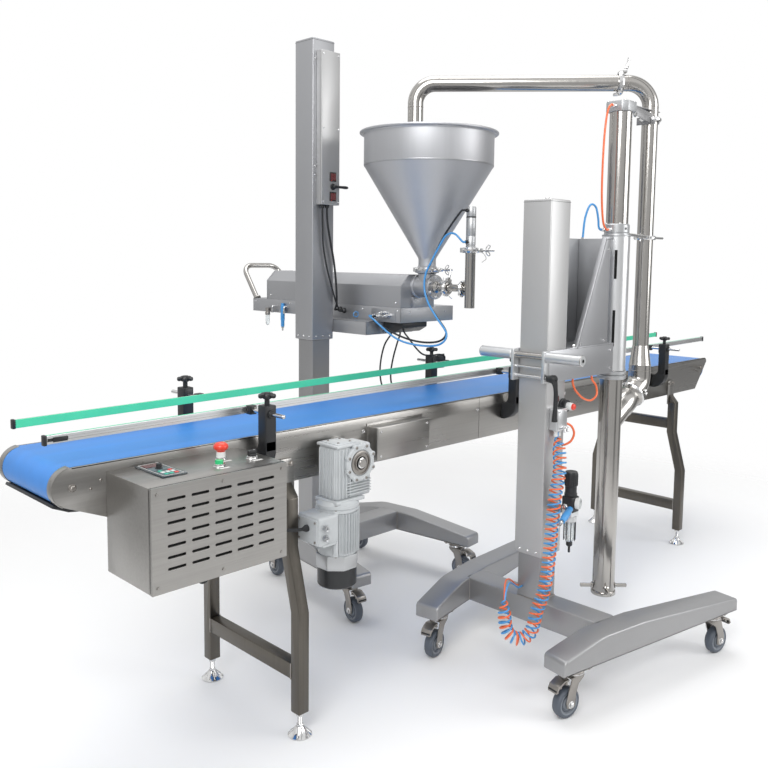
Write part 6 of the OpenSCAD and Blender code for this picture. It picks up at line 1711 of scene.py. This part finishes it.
class LINE_OT_pump(Operator):
    """Builds the pump: bracket, housing, air cylinder, product tube and transfer pipe"""
    bl_idname = "cake_line.pump"
    bl_label = "Pump and transfer pipe"

    def execute(self, context):
        s = context.scene.pump_sizes
        self.bracket()
        self.cylinder(mm(s.air) / 2)
        self.product_tube(mm(s.tube) / 2)
        self.pipe(mm(s.pipe), mm(s.tube))
        return {"FINISHED"}

    def bracket(self):
        work = Workpiece("pump_bracket_looks", "pump", "pump_bracket", slot="stainless")
        work.paint("satin sheet")
        for y in (-539, -411):
            work.prism([(841, 1040), (1262, 1040), (1262, 1150), (841, 1150)], "y", y, y + 12, 1.5)
        work.paint("machined alloy").box((962, -411, 1150), (1215, -399, 1540), 1.5)
        work.paint("satin sheet")
        work.prism([(1012, 1150), (1215, 1150), (1215, 1540), (1184, 1540)], "y", -539, -535, 1)
        work.prism([(1006, 1149), (1016, 1146), (1187, 1536), (1182, 1546)], "y", -541, -523, 1.2)
        work.box((1182, -541, 1536), (1232, -523, 1546), 1.2)
        work.box((1203, -535, 1150), (1215, -411, 1540), 1.5)
        work.box((1250, -527, 1042), (1262, -411, 1148), 1.5).box((964, -541, 1148), (1262, -397, 1152), 1)
        for z in (1062, 1110, 1190, 1480):
            work.paint("alloy").box((1214, -452, z), (1312, -414, z + 34), 3)
        work.paint("chrome")
        for x, z in ((985, 1500), (1060, 1240), (1060, 1226), (985, 1180)):
            work.screw((x, -411, z), FRONT, 9, 3)
        for x, z in ((870, 1060), (1190, 1166), (1030, 1162), (1205, 1500), (1240, 1060), (1240, 1128)):
            work.screw((x, -539, z), FRONT, 9, 3)
        work.bolt((1000, -533, 1152), UP, 12, 10)
        work.turned((1000, -405, 1540), UP, [(0, 0), (6, 0), (6, 8), (3, 9), (3, 16), (0, 16)], 20)
        work.turned((1240, -405, 1540), UP, [(0, 0), (7, 0), (7, 6), (0, 6)], 20)
        self.housing(work)
        work.finish()

    def housing(self, work):
        work.paint("alloy")
        at = (1376, -469, 0)
        for z0, z1, gaps in ((1034, 1130, False), (1130, 1270, True), (1270, 1390, False), (1390, 1500, True),
                             (1500, 1555, False)):
            profile = [(46, z0), (52, z0), (52, z1), (46, z1)]
            if not gaps:
                work.turned(at, UP, profile, 72, loop=True)
                continue
            for start, sweep in ((217, 168), (37, 168)):
                work.turned(at, UP, profile, 72, start=start, sweep=sweep, loop=True)
        work.turned(at, UP, [(14, 1034), (46, 1034), (46, 1040), (14, 1040)], 48, loop=True)
        work.turned(at, UP, [(14, 1549), (46, 1549), (46, 1555), (14, 1555)], 48, loop=True)
        # Near black tube inside the slotted housing: painted shade seen through the slots
        work.paint("dark inside").turned(at, UP, [(45.6, 1042), (45.6, 1548)], 48)

    def cylinder(self, r):
        x, y = 1376, -469
        work = Workpiece("pump_cylinder_looks", "pump", "pump_cylinder", slot="stand_steel")
        work.paint("pipe steel").rod((x, y, 1596), (x, y, 2025), r * 2, 0.3, 72)
        work.paint("machined alloy")
        lower = [(0, 0), (46, 0), (48, 2), (48, 9), (46.5, 11), (48, 13), (48, 41), (45, 45), (0, 45)]
        work.turned((x, y, 1555), UP, lower, 64)
        work.turned((x, y, 1555), UP, [(0, -3), (54, -3), (55, -1), (55, 2), (54, 4), (0, 4)], 64)
        octagon = [(x + u, y + v) for u, v in ((-48, -30), (-30, -48), (30, -48), (48, -30), (48, 30),
                                               (30, 48), (-30, 48), (-48, 30))]
        work.prism(octagon, "z", 2021, 2060, 3)
        work.turned((x, y, 2058), UP, [(0, 4), (16, 4), (18, 2), (18, 0)], 36)
        work.paint("chrome")
        for i in range(4):
            a = math.radians(90 * i + 45)
            work.screw(Vector((x, y, 2060)) + polar(50, a), UP, 11, 4)
            work.screw(Vector((x, y, 1600)) + polar(40, a), UP, 11, 4)
        work.screw((x - 12, -517, 1582), FRONT, 9, 2.5)
        for dy, z in ((0, 1577.5), (29, 1577.5), (0, 2040.5)):
            work.paint("chrome").turned((x - 47, y + dy, z), LEFT,
                                        [(0, 0), (8, 0), (8, 5), (6, 6), (6, 11), (0, 11)], 6)
            work.paint("white plastic").turned((x - 57, y + dy, z), LEFT,
                                               [(0, 0), (7, 0), (7, 4), (5, 6), (0, 6)], 20)
        work.paint("stand steel")
        work.prism([(x + 44, 2055), (x + 48, 2055), (1602 + 34, 2036), (1602 + 34, 2006), (x + 150, 2006),
                    (x + 44, 2024)], "y", -493, -489, 1)
        work.prism([(x + 30, -493), (1602 + 36, -493), (1602 + 36, -445), (x + 100, -445), (x + 30, -430)],
                   "z", 2052, 2056, 1)
        work.box((1568, -509, 2000), (1571, -429, 2030), 1)
        for px, z in ((x + 60, 2022), (1588, 2016)):
            work.paint("chrome").bolt((px, -493, z), FRONT, 14, 8)
            work.turned((px, -493, z), FRONT, [(0, 0), (13, 0), (13, 2), (0, 2)], 28)
        work.finish()

    def product_tube(self, r):
        x, y = 1376, -469
        work = Workpiece("product_tube_looks", "pump", "product_tube", slot="stainless")
        work.paint("pipe steel").turned((x, y, 126), UP,
                                        [(r - 4, 0), (r + 3, 0), (r + 4.7, 2), (r + 4.7, 13), (r + 3, 16),
                                         (r, 17), (r, 872),
                                        (r + 2, 874), (r, 876), (r, 906), (r - 4, 906)], 80, loop=True)
        work.paint("machined alloy").turned((x, y, 1000), UP,
                [(r - 4, 0), (r + 10, 0), (r + 12, 2), (r + 12, 13), (r + 10, 15), (r + 4, 16), (r + 4, 18),
                                            (r + 10, 19), (r + 12, 21), (r + 12, 30), (r + 10, 32), (13, 32)],
                                            64)
        work.paint("chrome")
        for i in range(4):
            a = math.radians(90 * i + 40)
            work.bolt(Vector((x, y, 1032)) + polar(r + 5, a), UP, 10, 7)
        for i in range(4):
            a = math.radians(90 * i + 45)
            u = polar(1, a)
            at = Vector((x, y, 158))
            work.paint("pipe steel").rod(at + u * (r - 2), at + u * 93, 16, 2, 24)
            work.turned(at + u * r, tuple(u), [(0, 0), (13, 0), (13, 3), (8, 7)], 28)
        axis = Vector((math.sin(math.radians(60)), 0, math.cos(math.radians(60))))
        base = Vector((x, y, 825))
        work.paint("pipe steel").turned(base, axis,
                                        [(0, 0), (44, 0), (44, 84), (47, 96), (47, 150), (44, 160), (44, 170),
                                         (0, 170)], 64)
        work.turned(base + axis * 170, axis, [(0, 0), (44, 0), (52, 6), (54, 9), (54, 20), (0, 20)], 64)
        work.paint("chrome").clamp(base + axis * 186, axis, 94, (0.35, -0.9, 0.2), 0.9, nut=False)
        work.finish()

    def pipe(self, d, low):
        y = -469
        axis = Vector((math.sin(math.radians(60)), 0, math.cos(math.radians(60))))
        start = Vector((1376, y, 825)) + axis * 190
        corner = (1602, y, 825 + 226 / math.tan(math.radians(60)))
        work = Workpiece("transfer_pipe_looks", "pump", "transfer_pipe", slot="stainless")
        work.paint("pipe steel").tube(rounded([start, corner, (1602, y, 1036)], 100, steps=16), low, 64)
        work.turned((1602, y, 1035), UP, [(low / 2, 0), (low / 2 + 0.6, 1), (low / 2 - 1, 5), (d / 2 + 1, 76),
                                          (d / 2, 80)], 64)
        path = rounded([(1602, y, 1114), (1602, y, 2166), (990, 245, 2166), (990, 245, 2004)], 95, steps=20)
        work.tube(path, d, 64)
        work.turned((990, 245, 2004), UP, [(d / 2 - 2, -0.4), (d / 2, -0.4), (d / 2, 3), (d / 2 - 2, 3)], 48,
                    loop=True)
        # Near black disc in the pipe's open end: painted shade in the bore
        work.paint("dark inside").turned((990, 245, 2004), UP, [(0, -0.2), (d / 2 - 2, -0.2)], 40)
        run = (Vector((990, 245, 2166)) - Vector((1602, y, 2166))).normalized()
        first = Vector((1602, y, 2166))
        work.paint("zinc")
        for at, along, wide in ((Vector((1602, y, 2071)), Vector(UP), d), (first + run * 95, run, d),
                                (Vector((990, 245, 2166)) - run * 95, run, d),
                                (Vector((990, 245, 2071)), Vector(UP), d),
                                (Vector((1602, y, 1013)), Vector(UP), low)):
            work.turned(at - along * 1.6, tuple(along),
                        [(wide / 2 - 0.4, 0), (wide / 2 + 0.7, 1), (wide / 2 + 0.7, 2.2),
                         (wide / 2 - 0.4, 3.2)], 48)
        work.paint("chrome")
        work.clamp(first + run * 123, run, d + 6, (0.2, -0.3, 1), 1.1)
        for z in (1553, 2021):
            work.paint("chrome").clamp((1602, y, z), UP, d + 4,
                                       (-0.6, -0.8, 0) if z != 1553 else (-1, -0.25, 0), 0.95, nut=z != 2021)
        work.rod((1560, -498, 1553), (1684, -503, 1553), 10, 1)
        work.rod((1424, -490, 1562), (1566, -494, 1556), 12, 1)
        work.finish()


class LINE_PT_builder(Panel):
    """Lists the steps that build the line"""
    bl_idname = "LINE_PT_builder"
    bl_label = "Depositor line"
    bl_space_type = "VIEW_3D"
    bl_region_type = "UI"
    bl_category = "Depositor line"

    def draw(self, context):
        for step in STEPS:
            self.layout.operator(step.bl_idname)
        for group in GROUPS:
            box = self.layout.box()
            settings = getattr(context.scene, group)
            for name in settings.__annotations__:
                box.prop(settings, name)


GROUPS = {"line_stage": LineStage, "line_colours": LineColours, "conveyor_sizes": ConveyorSizes,
          "stand_sizes": StandSizes,
          "depositor_sizes": DepositorSizes, "pump_sizes": PumpSizes}
STEPS = (LINE_OT_finishes, LINE_OT_stage, LINE_OT_hoses, LINE_OT_conveyor, LINE_OT_leg_frames,
         LINE_OT_guide_rails, LINE_OT_control_box,
         LINE_OT_gear_motor, LINE_OT_stands, LINE_OT_casters, LINE_OT_depositor_column, LINE_OT_tray,
         LINE_OT_hopper,
         LINE_OT_pump_column, LINE_OT_pump)
CLASSES = (*GROUPS.values(), *STEPS, LINE_PT_builder)


def register():
    for cls in CLASSES:
        bpy.utils.register_class(cls)
    for name, group in GROUPS.items():
        setattr(bpy.types.Scene, name, PointerProperty(type=group))


def unregister():
    for name in GROUPS:
        delattr(bpy.types.Scene, name)
    for cls in reversed(CLASSES):
        bpy.utils.unregister_class(cls)


def main():
    register()
    for step in STEPS:
        group, name = step.bl_idname.split(".")
        getattr(getattr(bpy.ops, group), name)()


if __name__ == "__main__":
    main()
